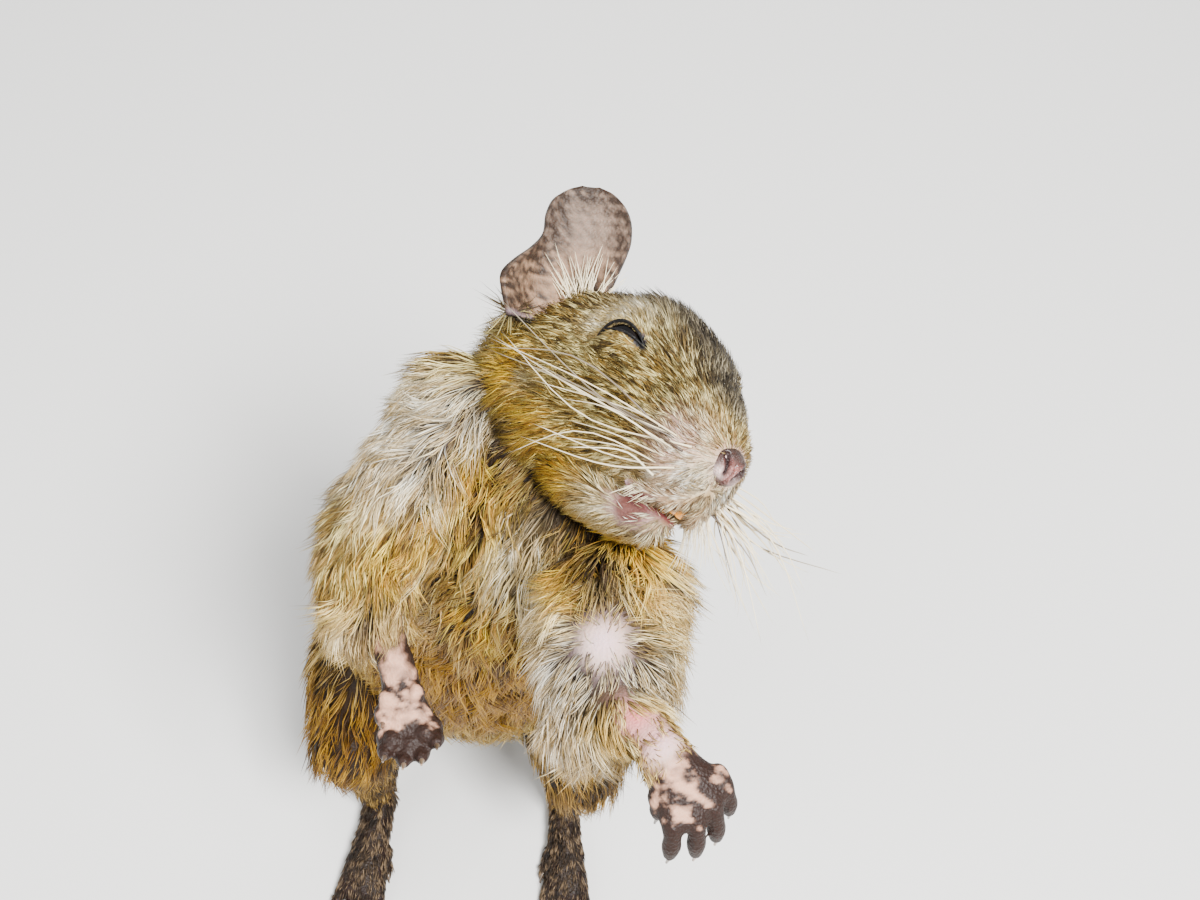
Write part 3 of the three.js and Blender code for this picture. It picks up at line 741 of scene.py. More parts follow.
@dataclass(frozen=True)
class Head:
    """Skull, muzzle, lids, lips and lower jaw, in a frame with the nose at its origin, -Y forward,
    +Z to the crown and +X to the animal's left.

    Outline rows are back from the nose, top, bottom and half-width, and coat is its depth at each.
    Forms are out, back, up, height and spread of swellings and hollows on both sides. Jaw rows are
    a loft's, and lips are places out, back and up, with a radius for each.
    """

    outline: tuple = (
        (0.2, 2.6, -2.6, 3.0), (2, 5.0, -5.2, 4.9), (4.5, 7.2, -7.2, 6.6), (8, 10.2, -8.4, 8.2),
        (13, 14.0, -10.4, 10.0), (18, 17.2, -12.6, 11.8), (24, 19.5, -14.6, 13.8),
        (30, 20.0, -15.6, 15.8), (36, 18.8, -15.8, 17.2), (42, 16.4, -14.4, 17.0),
        (46, 13.2, -11.4, 14.4), (49, 8.4, -6.4, 9.4),
    )
    coat: tuple = (0.1, 0.2, 0.3, 0.4, 0.6, 0.8, 1.1, 1.4, 1.8, 2.0, 2.2, 2.2)
    forms: tuple = (
        (5.0, 5.5, -4.2, 1.5, 3.6), (11, 31, -6, 1.4, 8), (7.5, 20, 13, 0.8, 4.5),
        (7.5, 13, 4, -0.9, 4), (10.5, 21.5, 9.6, 2.5, 5.8),
    )
    front_pole: Place = (0, -0.3, 0)
    rear_pole: Place = (0, 48.4, 0.7)
    cleft_depth: float = 0.7
    cleft_width: float = 0.7
    eye_place: Place = (9.2, 22, 9)
    eye_faces: Place = (0.86, -0.28, 0.42)
    slit_runs: Place = (0, -1, 0.5)
    eye_radius: float = 4.6
    lid: float = 0.6
    lid_sunk: float = 0.25
    fissure_length: float = 7.4
    fissure_opening: float = 1.5
    fissure_bow: float = 0.2
    fissure_low: float = -2.15
    fissure_tilt: float = 0.6
    cut_depths: Place = (0.5, 3, 6)
    rim: float = 0.12
    rim_swell: float = 0.1
    rim_gap: float = 0.1
    lower_rim: float = 0.8
    jaw: tuple = (
        (0, 23, -11.2, 10.0, 5.4), (0, 16, -12.0, 8.2, 4.4), (0, 10.5, -12.3, 5.4, 3.1),
        (0, 8, -12.0, 3.6, 2.3),
    )
    jaw_coat: tuple[float, float] = (1.2, 0.3)
    upper_lip: tuple[Place, ...] = ((0.5, 1.6, -4.6), (2.2, 3.2, -7.4), (4.1, 6.2, -8.6), (5.4, 10.4, -8.8))
    upper_lip_radii: tuple[float, ...] = (1.2, 1.15, 0.95, 0.7)
    lower_lip: tuple[Place, ...] = ((0.4, 6.0, -10.8), (2.6, 7.2, -10.5), (4.4, 10.5, -9.7))
    lower_lip_radii: tuple[float, ...] = (0.9, 0.8, 0.7)
    cell: float = 0.45
    softening: int = 4

    def skull(self, steps: int = 120, sides: int = 120) -> Surface:
        """The closed form of skull and muzzle: at each place back from the nose an ellipse between
        top and bottom, moved out along its normal by the sum of the bell-shaped forms.

        Args:
            steps: rings along it.
            sides: points in a ring.

        Returns:
            Points and triangles, in the part's frame.
        """
        t = np.linspace(0, 1, steps + 1)
        rows = spline([(*row, coat) for row, coat in zip(self.outline, self.coat, strict=True)], t)
        back, top, bottom, half, coat = (rows[:, k, None] for k in range(5))
        round_it = np.linspace(0, 2 * math.pi, sides, endpoint=False)[None]
        high = (top - bottom) / 2
        x = half * np.cos(round_it)
        z = (top + bottom) / 2 + high * np.sin(round_it)
        points = np.stack([x, back + 0 * x, z], -1)
        lift = -coat + 0 * x
        for *middle, height, spread in self.forms:
            lift = lift + height * bell(folded(points), middle, spread)
        lift = lift - self.cleft(points)
        normal = unit(np.stack([np.cos(round_it) / half, 0 * x, np.sin(round_it) / high], -1))
        rings = points + normal * lift[..., None]
        ends = np.array([self.front_pole, self.rear_pole])
        return closed_tube(HEAD_POSE.out(rings), *HEAD_POSE.out(ends))

    def cleft(self, points: Array) -> Array:
        """Depth of the cleft below the nose: a narrow bell across the midline where the muzzle faces
        down and forward."""
        across, back, up = (points[..., axis] for axis in range(3))
        narrow = np.exp(-((across / self.cleft_width) ** 2))
        return self.cleft_depth * narrow * smooth(5, 1.5, back) * smooth(-0.5, -2, up)

    def eye_frame(self, side: Side) -> tuple[Array, ...]:
        """An eye's own directions: forward is the slit's, square to the way that the eye faces.

        Args:
            side: of the animal.

        Returns:
            Middle of the eye, and directions out of the head, forward and up along the lids.
        """
        out = unit(np.array(self.eye_faces) * side.flip)
        forward = np.array(self.slit_runs)
        forward = unit(forward - out * (forward @ out))
        up = np.cross(out, forward) * -side.value
        return np.array(self.eye_place) * side.flip, out, forward, up

    def lid_arc(self, side: Side, s: Array, opening: float, radius: float) -> Array:
        """Line of a lid on a ball: along the slit as s goes from -1 to 1, and as high as a tilted
        parabola, less s squared.

        Args:
            side: of the animal.
            s: places along the slit.
            opening: added to the parabola's height, the upper lid's where it is the full opening.
            radius: of the ball.

        Returns:
            Points in the head's frame.
        """
        middle, out, forward, up = self.eye_frame(side)
        a = s * self.fissure_length / 2
        b = self.fissure_low - self.fissure_tilt * s + (self.fissure_bow + opening) * (1 - s * s)
        c = np.sqrt(np.maximum(radius**2 - a**2 - b**2, 0))
        return middle + a[:, None] * forward + b[:, None] * up + c[:, None] * out

    def fissure(self, side: Side) -> Surface:
        """The slit between the lids: a bowed lens carried straight out of the eye.

        Args:
            side: of the animal.

        Returns:
            Points and triangles, in the part's frame.
        """
        middle, out, _, _ = self.eye_frame(side)
        s = np.linspace(-1, 1, 15)
        upper = self.lid_arc(side, s[1:-1], self.fissure_opening, self.eye_radius)
        lower = self.lid_arc(side, s, 0, self.eye_radius)
        loop = np.concatenate([lower, upper[::-1]])
        flat = loop - out * ((loop - middle) @ out)[:, None]
        rings = np.stack([flat + out * depth for depth in self.cut_depths])
        poles = flat.mean(0) + out * np.array([[self.cut_depths[0]], [self.cut_depths[-1]]])
        return closed_tube(HEAD_POSE.out(rings), *HEAD_POSE.out(poles))

    def rims(self, side: Side) -> list[Loft]:
        """Rims of the two lids along the slit, thickest at its middle by one less s squared.

        Args:
            side: of the animal.

        Returns:
            The upper rim and the lower.
        """
        s = np.linspace(-1, 1, 9)
        radius = self.eye_radius + self.lid
        upper = self.lid_arc(side, s, self.fissure_opening + self.rim_gap, radius)
        lower = self.lid_arc(side, s, -self.rim_gap, radius)
        sizes = self.rim + self.rim_swell * (1 - s**2)
        return [rod(upper, sizes, HEAD_POSE), rod(lower, sizes * self.lower_rim, HEAD_POSE)]

    def form(self) -> Surface:
        """The whole head as one closed surface: skull, lids, lips and jaw melted together, the slits
        cut and their rims joined on."""
        pieces = [self.skull(), Loft(self.jaw, inset=self.jaw_coat, pose=HEAD_POSE).surface()]
        lips = ((self.upper_lip, self.upper_lip_radii), (self.lower_lip, self.lower_lip_radii))
        for side in Side:
            middle, out, _, _ = self.eye_frame(side)
            lids = ball(middle - out * self.lid_sunk, out * 0.05, self.eye_radius + self.lid, HEAD_POSE)
            pieces.append(lids.surface(steps=2, dome=16))
            for lip, radii in lips:
                mirrored = np.array(lip) * side.flip
                pieces.append(rod(mirrored, radii, HEAD_POSE).surface(steps=20, sides=20))
        soft = melt(pieces, self.cell, self.softening)
        cut = combine(soft, [self.fissure(side) for side in Side], Joining.CUT)
        rims = [rim.surface(steps=24, sides=10, dome=3) for side in Side for rim in self.rims(side)]
        return combine(cut, rims, Joining.JOIN)

    def body_like(self) -> Loft:
        """The head's outline as a plain form, for the lie and the length of its hair."""
        rows = tuple(
            (0, back, (top + bottom) / 2, half, (top - bottom) / 2)
            for back, top, bottom, half in self.outline
        )
        return Loft(rows, pose=HEAD_POSE)


@dataclass(frozen=True)
class Ear:
    """A thin cup with a notch in its rear edge. Rows are the distance along it as a share of its
    length, and its reach to the front edge and to the rear edge. The edge is rolled and the cup has
    low folds, whose waves are radians to a millimetre across and from root to tip."""

    side: Side
    axis: Place
    rows: tuple = (
        (-0.2, 3.0, 13.0), (0, 3.6, 14.4), (0.12, 4.2, 14.6), (0.28, 5.2, 12.0), (0.43, 6.2, 8.6),
        (0.56, 6.8, 6.8), (0.72, 6.6, 6.6), (0.86, 5.4, 5.6), (0.95, 3.6, 3.6), (1, 1.4, 1.4),
    )
    length: float = 19.0
    cup_radius: float = 13.0
    thickness: float = 0.75
    roll: float = 0.25
    roll_width: float = 0.1
    fold: float = 0.35
    fold_waves: tuple[float, float] = (0.9, 4)
    root: Place = (11, 36, 12)
    facing: Place = (0.6, -0.8, 0)

    def frame(self) -> tuple[Array, ...]:
        """The ear's own directions, in the head's frame: its hollow faces square to its length.

        Returns:
            Root, and directions along the ear, out of its hollow and to its rear.
        """
        flip = self.side.flip
        along = unit(np.array(self.axis) * flip)
        facing = np.array(self.facing) * flip
        facing = unit(facing - along * (facing @ along))
        return np.array(self.root) * flip, along, facing, np.cross(along, facing) * self.side.value

    def form(self, steps: int = 56, across: int = 34) -> Surface:
        """The closed ear: at each place along it an arc of the cup's radius between its two edges,
        gone along on the inner face and back on the outer. The roll is a bell of the distance from
        the edge, and the folds are a sine of the places across and along.

        Args:
            steps: rings along it.
            across: points of one face of a ring.

        Returns:
            Points and triangles, in the part's frame.
        """
        root, along, facing, rear = self.frame()
        t = np.linspace(0, 1, steps + 1)
        share, front, back = spline(self.rows, t).T
        k = (1 - np.cos(np.linspace(0, math.pi, across))) / 2
        reach = -front[:, None] * (1 - k) + back[:, None] * k
        edge = np.exp(-((np.minimum(k, 1 - k) / self.roll_width) ** 2))
        rolled = self.roll * edge * smooth(0, 0.3, t)[:, None]
        sideways, upward = self.fold_waves
        folds = self.fold * np.sin(reach * sideways + upward * t[:, None])
        folds = folds * smooth(0.75, 0.2, t)[:, None]
        middle = root + along * (share * self.length)[:, None]

        def arc(radius: Array) -> Array:
            """Points at a distance from the cup's axis."""
            angle = (reach / self.cup_radius)[..., None]
            around = rear * radius[..., None] * np.sin(angle)
            return middle[:, None] + around + facing * (self.cup_radius - radius[..., None] * np.cos(angle))

        inner = arc(self.cup_radius - rolled + folds)
        outer = arc(self.cup_radius + self.thickness + rolled * 0.5 + folds)
        rings = np.concatenate([inner, outer[:, ::-1]], 1)
        poles = rings[[0, -1]].mean(1)
        return closed_tube(HEAD_POSE.out(rings), *HEAD_POSE.out(poles))


@dataclass(frozen=True)
class Digit:
    """A finger or toe: out from the middle of the paw, back from the palm's tip, length, turn and
    height of its root."""

    out: float
    ahead: float
    length: float
    turn: float
    up: float

    def path(self, curl: float, shares: tuple[float, ...], drops: tuple[float, ...]) -> Array:
        """Places along it: the shares of its length ahead of the root, sunk by the drops times it.

        Args:
            curl: how far the digit is curled, from 0 to 1.
            shares: of its length.
            drops: how far it sinks at each where it is fully curled, as shares of its length.

        Returns:
            Places in the paw's frame.
        """
        turn = math.radians(self.turn)
        ahead = np.array(shares) * self.length * (1 - curl * 0.3)
        sunk = np.array(drops) * self.length * curl
        return np.stack(
            [self.out + math.sin(turn) * ahead, -self.ahead - math.cos(turn) * ahead, self.up - sunk], -1
        )


@dataclass(frozen=True)
class Paw:
    """A paw or foot in its own frame, pointing to -Y with its back up, and its pose.

    Palm rows are a loft's and pads are places with a radius. Joints and drops are places along a
    digit, and swellings its radius there, as shares. Claws are as long as claw, with their rows of
    a share of the length and a radius.
    """

    name: str
    pose: Pose
    palm: tuple
    digits: tuple[Digit, ...]
    radius: float
    curl: float
    mottle: float
    bare: float = 0.97
    skin: Colour = (196, 148, 122)
    pads: tuple = ()
    joints: tuple[float, ...] = (-0.35, 0.1, 0.45, 0.75, 1.0)
    drops: tuple[float, ...] = (0, 0.05, 0.25, 0.6, 0.95)
    swellings: tuple[float, ...] = (1.05, 1.02, 0.85, 0.92, 0.68)
    claw: float = 2.4
    claw_rows: tuple = ((0, 0.55), (0.3, 0.48), (0.65, 0.32), (1.0, 0.1))
    claw_lift: Place = (0, 0, 0.35)
    claw_bend: float = 0.35
    cell: float = 0.36
    softening: int = 3

    @property
    def tip(self) -> float:
        """How far ahead of the wrist or heel the longest digit reaches past its root."""
        return max(digit.ahead + 0.6 * digit.length for digit in self.digits)

    def form(self) -> Surface:
        """Palm, digits with swollen joints and pads, melted into one surface."""
        pieces = [Loft(self.palm, pose=self.pose).surface(steps=24, sides=28)]
        radii = tuple(self.radius * swelling for swelling in self.swellings)
        for digit in self.digits:
            path = digit.path(self.curl, self.joints, self.drops)
            pieces.append(rod(path, radii, self.pose).surface(steps=20, sides=16, dome=5))
        for *middle, size in self.pads:
            pad = ball(np.array(middle), np.array([0, 0.2, 0]), size, self.pose)
            pieces.append(pad.surface(steps=2, sides=14, dome=6))
        return melt(pieces, self.cell, self.softening)

    def claws(self) -> list[Surface]:
        """A cone for each digit, bent down as the square of the share of its length."""
        made = []
        shares, radii = np.array(self.claw_rows).T
        down = np.array([0, 0, -1.0])
        for digit in self.digits:
            knuckle, tip = digit.path(self.curl, (0.9, 1.0), (0.8, 0.95))
            ahead = unit(tip - knuckle) * (shares * self.claw)[:, None]
            bent = down * (shares**2 * self.claw * self.claw_bend)[:, None]
            path = tip + np.array(self.claw_lift) + ahead + bent
            made.append(rod(path, radii, self.pose).surface(steps=8, sides=8, dome=3))
        return made


FINGERS = (
    (-3.8, 6.0, 4.8, -9, 0.1), (-1.3, 7.0, 5.6, -3, 0.4),
    (1.3, 7.0, 5.6, 3, 0.4), (3.8, 6.0, 4.8, 9, 0.1),
)
THUMB = (3.4, 3.2, 2.0, 10, -0.6)
PALM = ((0, 1.0, 0, 2.9, 2.6), (0, -2.5, 0, 3.6, 2.4), (0, -5.0, 0, 4.8, 2.2), (0, -6.6, 0, 4.6, 1.8))
PALM_PADS = (
    (-2.6, -6.2, -1.3, 1.5), (0, -7, -1.2, 1.4), (2.6, -6.2, -1.3, 1.5), (-2.2, -1.6, -1.4, 1.5),
    (2.2, -1.6, -1.4, 1.5),
)
TOES = (
    (-3.9, 22.5, 6.2, -14, 1.3), (-1.5, 23.5, 8.6, -4, 1.3),
    (1.2, 23.5, 8.8, 4, 1.3), (3.8, 22.5, 7.0, 13, 1.3),
)
FIRST_TOE = (3.6, 15, 4.2, 20, 1.3)
SOLE = ((0, -3, 3.0, 3.4, 3.4), (0, -10, 2.6, 3.6, 3.2), (0, -18, 2.4, 4.5, 2.8), (0, -24, 2.0, 5.3, 2.4))


def with_inner(rows: tuple, inner: tuple, side: Side) -> tuple:
    """Rows of digits with the thumb or first toe, which is on the side of the middle of the body."""
    out, ahead, length, turn, up = inner
    return (*rows, (-out * side.value, ahead, length, -turn * side.value, up))


def forepaw(
    side: Side,
    pose: Pose,
    palm: tuple[float, float],
    fingers: tuple[float, float],
    turn: float,
    curl: float,
    mottle: float,
) -> Paw:
    """A forepaw from the rows of palm and fingers.

    Args:
        side: of the animal.
        pose: of its wrist.
        palm: its width and length as shares of the rows'.
        fingers: their spread and length as shares of the rows'.
        turn: of all fingers, in degrees.
        curl: of the fingers.
        mottle: how much of its skin is dark.

    Returns:
        The paw.
    """
    (wide, long), (spread, reach) = palm, fingers
    return Paw(
        name=f"forepaw_{side.word}",
        pose=pose,
        palm=tuple((x, y * long, z, half * wide, deep) for x, y, z, half, deep in PALM),
        digits=tuple(
            Digit(out * spread, ahead * long, length * reach, angle * spread + turn, up)
            for out, ahead, length, angle, up in with_inner(FINGERS, THUMB, side)
        ),
        radius=1.55,
        curl=curl,
        mottle=mottle,
        pads=tuple((x * wide, y * long, z, size) for x, y, z, size in PALM_PADS),
    )


def hind_foot(side: Side, pose: Pose) -> Paw:
    """A hind foot, which short dark hair covers."""
    return Paw(
        name=f"hind_foot_{side.word}",
        pose=pose,
        palm=SOLE,
        digits=tuple(Digit(*row) for row in with_inner(TOES, FIRST_TOE, side)),
        radius=1.35,
        curl=0.05,
        mottle=0.4,
        bare=0.2,
        skin=(44, 34, 27),
    )


EARS = (Ear(Side.RIGHT, (0.36, 0.3, 0.88)), Ear(Side.LEFT, (0.5, 0.75, 0.42)))
FOREPAWS = {
    Side.RIGHT: forepaw(
        side=Side.RIGHT,
        pose=Pose((16.8, -11.4, 119.0), turn=20, lift=-22, roll=172),
        palm=(0.96, 1.36),
        fingers=(0.96, 0.56),
        turn=0,
        curl=0.9,
        mottle=0.4,
    ),
    Side.LEFT: forepaw(
        side=Side.LEFT,
        pose=Pose((57.6, -25.2, 132.2), turn=46, lift=-24, roll=-8),
        palm=(1.24, 1.25),
        fingers=(1.2, 1.1),
        turn=-18,
        curl=0.7,
        mottle=0.95,
    ),
}
HIND_FEET = {
    Side.RIGHT: hind_foot(Side.RIGHT, Pose((0.6, 17, 0), -2)),
    Side.LEFT: hind_foot(Side.LEFT, Pose((44, 21, 0), 6)),
}
PAWS = (*FOREPAWS.values(), *HIND_FEET.values())


class Region(Enum):
    """A part of the coat, with the forms that it grows on."""

    HEAD = "head"
    TRUNK = "trunk"
    ARM_RIGHT = "arm_right"
    ARM_LEFT = "arm_left"
    LEGS = "legs"
    TAIL = "tail"


@dataclass(frozen=True)
class Growth:
    """How the hair grows on one form: whether it lies back along the form's own path (1 or -1), its
    length at the form's start and end, how many degrees it stands off, how dense it is, its shades
    on the side that faces front and up and on the other, and the power of the place along the form
    by which the length changes."""

    region: Region
    form: Loft
    way: int
    length: tuple[float, float]
    stand: float
    density: float
    front: Shade
    rear: Shade
    power: float = 1.0


@dataclass
class Body:
    """The skin, with what each of its points belongs to: its share of each form, its place along
    each, the lie of the hair and its place on the unwrap."""

    head: Head = field(default_factory=Head)
    cell: float = 1.2
    softening: int = 6
    growths: list[Growth] = field(default_factory=list)
    points: Array = field(init=False)
    faces: Array = field(init=False)
    normals: Array = field(init=False)
    shares: Array = field(init=False)
    along: Array = field(init=False)
    lie: Array = field(init=False)
    unwrap: Array = field(init=False)

    def build(self) -> None:
        """Melts trunk, limbs and tail, joins head, ears, paws and feet on, and keeps all of it above
        the ground."""
        limbs = [form for group in (UPPER_ARM, FOREARM, THIGH, SHANK) for form in group.values()]
        forms = [form.surface(steps=60, sides=60) for form in (TRUNK, TAIL, *limbs)]
        core = melt(forms, self.cell, self.softening)
        extras = [self.head.form(), *(ear.form() for ear in EARS), *(paw.form() for paw in PAWS)]
        self.points, self.faces = combine(core, extras, Joining.JOIN)
        self.points[:, 2] = np.maximum(self.points[:, 2], 0)
        self.normals = point_normals(self.points, self.faces)
        skull, agouti, flank = self.head.body_like(), Shade.AGOUTI, Shade.FLANK
        self.growths = [
            Growth(Region.HEAD, skull, 1, (2.2, 12.0), 24, 3.6, agouti, agouti, power=1.3),
            Growth(Region.TRUNK, TRUNK, -1, (10.0, 9.5), 25, 1.0, Shade.STRAW, agouti),
            Growth(Region.TAIL, TAIL, 1, (3.0, 13.0), 18, 1.4, flank, flank, power=4.0),
        ]
        for side, arm in ((Side.RIGHT, Region.ARM_RIGHT), (Side.LEFT, Region.ARM_LEFT)):
            foot = Loft(SOLE, pose=HIND_FEET[side].pose)
            self.growths += [
                Growth(arm, UPPER_ARM[side], 1, (9.5, 9.5), 25, 1.6, Shade.PALE, agouti),
                Growth(arm, FOREARM[side], 1, (8.5, 3.5), 20, 1.6, Shade.BUFF, Shade.BUFF),
                Growth(Region.LEGS, THIGH[side], 1, (9.5, 8.0), 23, 0.9, flank, flank),
                Growth(Region.LEGS, SHANK[side], 1, (7.0, 4.0), 22, 1.6, flank, Shade.FOOT),
                Growth(Region.LEGS, foot, 1, (3.2, 2.2), 20, 6.0, Shade.FOOT, Shade.FOOT),
            ]
        self.sort_out()

    def sort_out(self, sharpness: float = 9.0, tiles: int = 4, margin: float = 0.04) -> None:
        """Works out for each point its share of each form (falling off exponentially with reach and
        adding to one), its place along the nearest, the lie of the hair there, which is the mean of
        the forms' own directions, and its place on an unwrap with a tile for each form, round it
        across the tile and along it up the tile.

        Args:
            sharpness: how fast a form's share falls off.
            tiles: in a row of the unwrap.
            margin: left free on each side of a tile, as a share of it.
        """
        found = [growth.form.nearest(self.points) for growth in self.growths]
        reach = np.stack([f[2] for f in found], -1)
        shares = np.exp(-sharpness * (reach - reach.min(-1, keepdims=True)))
        self.shares = shares / shares.sum(-1, keepdims=True)
        self.along = np.stack([f[0] for f in found], -1)
        ways = np.stack([f[3] * growth.way for f, growth in zip(found, self.growths, strict=True)], 1)
        self.lie = (ways * self.shares[..., None]).sum(1)
        owner = reach.argmin(-1)
        pick = np.arange(len(owner))
        angle = np.stack([f[1] for f in found], -1)[pick, owner]
        tile = np.stack([owner % tiles, owner // tiles], -1)
        inside = np.stack([angle / (2 * math.pi) + 0.5, self.along[pick, owner]], -1)
        self.unwrap = (tile + margin + (1 - 2 * margin) * inside) / tiles

    def part_of(self, form: Loft) -> Array:
        """Each point's share of one form."""
        return self.shares[:, [growth.form is form for growth in self.growths]][:, 0]

    def along_part(self, form: Loft) -> Array:
        """Each point's place along one form."""
        return self.along[:, [growth.form is form for growth in self.growths]][:, 0]


# Markings


BALD_ELBOW = (47, -10, 136)
SHOULDER_WHORL = (21, 16, 148)
CHIN = (4.2, 8.6, -11.6)


def laid_over(colour: Array, shade: Colour, mask: Array) -> Array:
    """Colours with another laid over them by a mask from 0 to 1."""
    return colour + (np.array(linear(*shade)) - colour) * mask[..., None]


def even(shade: Colour, *counts: int) -> Array:
    """One colour for each of so many points."""
    return np.full((*counts, 3), linear(*shade))


@dataclass(frozen=True)
class BareSpot:
    """A bare place of the skin, or two on the head, where places are on its left."""

    place: Place
    radius: float
    strength: float
    on_head: bool = False

    def weight(self, points: Array) -> Array:
        """Strength times the bell of the distance, at most 1."""
        own = folded(HEAD_POSE.inside(points)) if self.on_head else points
        return np.clip(self.strength * bell(own, self.place, self.radius), 0, 1)


@dataclass(frozen=True)
class Markings:
    """Shades of the coat and colours of the skin, with the skin's bare places. Rows of patches are
    a patch's fields, and those of the head are places on its left. The gain is how much stronger
    all are than their own strength."""

    patches: tuple = (
        (Shade.OCHRE, (27, 2, 84), 30, 1.3), (Shade.FLANK, (21, 58, 42), 34, 0.75),
        (Shade.PALE, (14, 16, 145), 11), (Shade.PALE, (17, 10, 143), 9),
        (Shade.PALE, (10, 11, 141), 9, 0.9), (Shade.GOLD, (13, 0, 133), 8, 0.8),
        (Shade.GOLD, (8, 0, 126), 7, 0.7), (Shade.AGOUTI, (4, 7, 134), 6, 0.8),
        (Shade.AGOUTI, (6, 0, 127), 5.5, 0.6), (Shade.FLANK, (12, -7, 124), 4, 0.6),
        (Shade.GOLD, (27, 3, 131), 7, 1.1), (Shade.GOLD, (31, 1, 119), 8, 0.9),
        (Shade.PALE, (34, 3, 135), 5.5, 0.9), (Shade.PALE, (35, 1, 130), 5.5, 0.7),
        (Shade.PALE, (19, 3, 111), 8, 0.5), (Shade.GOLD, (26, 1, 112), 7, 1.0),
        # The cream patch at (35, 2, 126) is pale chest hair with painted light where the chest lies in shade.
        (Shade.CREAM, (35, 2, 126), 8, 0.75), (Shade.AGOUTI, (19, 32, 150), 9, 1.0),
        (Shade.GOLD, (21, 5, 134), 5.5, 0.9), (Shade.GOLD, (25, 10, 142), 5.0, 1.2),
        (Shade.GOLD, (30, 8, 142), 4, 1.0), (Shade.THROAT, (27, 26, 152), 3.8, 1.2),
        (Shade.THROAT, (31, 18, 151), 4.2), (Shade.THROAT, (36, 10, 148), 4.5),
        (Shade.THROAT, (44, 7, 139), 5.5), (Shade.THROAT, (51, 5, 140), 7),
        (Shade.GOLD, (40, -2, 136), 6, 0.8), (Shade.GOLD, (54, -3, 139), 6, 0.8),
        # Dark patches from (28, 19, 148) to (40, -12, 133): dark underfur and painted shadow under the jaw.
        (Shade.BUFF, (58, -7, 133), 7, 0.8), (Shade.DARK, (28, 19, 148), 3.2, 0.8),
        (Shade.DARK, (33, 10, 144), 3.6, 1.1), (Shade.DARK, (27, 12, 144.5), 2.8, 1.2),
        (Shade.DARK, (20.5, 16.5, 149.5), 2.0, 0.9), (Shade.DARK, (37, 6, 140), 3.6, 1.1),
        (Shade.DARK, (45, -1, 138), 4.2, 0.9), (Shade.DARK, (40, -12, 133), 3.4, 0.6),
        (Shade.OCHRE, (0, 8, 50), 14, 0.7), (Shade.BUFF, (-5, 21, 60), 7, 0.6),
        (Shade.DARK, (23, 162, 3), 26), (Shade.THROAT, (-16.5, 35.5, -2), 2.2, 0.8, HEAD_POSE),
        (Shade.CREAM, (-16.5, 31.5, -3.5), 1.6, 0.9, HEAD_POSE),
        (Shade.DARK, (-16, 29.8, -4), 1.5, 1.2, HEAD_POSE),
    )
    head_patches: tuple[tuple[Shade, Place, float, float], ...] = (
        (Shade.CROWN, (0, 22, 19), 8.5, 0.9), (Shade.CROWN, (0, 34, 19), 9.0, 0.9),
        (Shade.CROWN, (0, 12, 14), 5.0, 0.8), (Shade.CROWN, (1, 6, 9), 3.0, 0.9),
        (Shade.DARK, (6, 27, 20), 4.2, 0.9), (Shade.DARK, (2, 17, 17.5), 4.0, 0.6),
        (Shade.DARK, (2, 9, 12), 3.2, 0.5), (Shade.CREAM, (11, 24, 12.5), 3.4, 1.4),
        (Shade.CREAM, (12.5, 28, 10.5), 2.8, 1.0), (Shade.BUFF, (4, 4, 4.5), 3.0, 0.9),
        (Shade.MUZZLE, (7, 5, -1), 4.5, 1.0), (Shade.MUZZLE, (5, 5, -7), 4.5, 1.0),
        (Shade.PALE, (4, 2, -4.5), 3.0, 1.0), (Shade.BUFF, (6, 13, -8.5), 4.5, 0.8),
        (Shade.PALE, (4, 11, -15), 5.0, 1.0), (Shade.CREAM, (0, 16, -17), 6.0, 0.7),
    )
    gain: float = 1.3
    # Painted shade in the gaps where the coat parts: the size of its ripple and how much it darkens.
    parting_size: float = 7.0
    parting_dark: float = 0.5
    bare_spots: tuple[BareSpot, ...] = (
        BareSpot(BALD_ELBOW, 3.8, 1.3),
        BareSpot((53, -20, 134), 4.0, 0.9),
        BareSpot((56.5, -24, 134.5), 3.5, 0.9),
        BareSpot(SHOULDER_WHORL, 2.2, 0.7),
        BareSpot((0, 0.6, 0), 2.4, 1.2, on_head=True),
        BareSpot(CHIN, 3.2, 1.0, on_head=True),
        BareSpot((6.5, 6, -1.5), 4.2, 0.45, on_head=True),
        BareSpot((6, 11, -9), 1.6, 1.2, on_head=True),
    )
    bald: Colour = (216, 182, 188)
    sore: Colour = (206, 104, 96)
    sore_place: Place = (52, -19, 134)
    sore_radius: float = 5.5
    # Dark of the paws' blotches, and painted shade at their edges.
    blotch_and_edge_shade: Colour = (28, 14, 9)
    chin: Colour = (94, 58, 52)
    mouth: Colour = (84, 34, 34)
    mouth_place: Place = (0, 10, -9.2)
    mouth_shape: Place = (0.75, 0.6, 1.6)
    lid: Colour = (10, 8, 8)
    ear_high: Colour = (120, 100, 86)
    ear_low: Colour = (154, 122, 96)
    ear_dark: Colour = (46, 34, 26)
    ear_hole_shadow: Colour = (26, 18, 16)

    def every_patch(self) -> list[Patch]:
        """The patches of the body, and those of the head on both its sides."""
        mirrored = [
            Patch(shade, (out * side.value, back, up), radius, strength, HEAD_POSE)
            for shade, (out, back, up), radius, strength in self.head_patches
            for side in Side
        ]
        return [*mirrored, *(Patch(*row) for row in self.patches)]

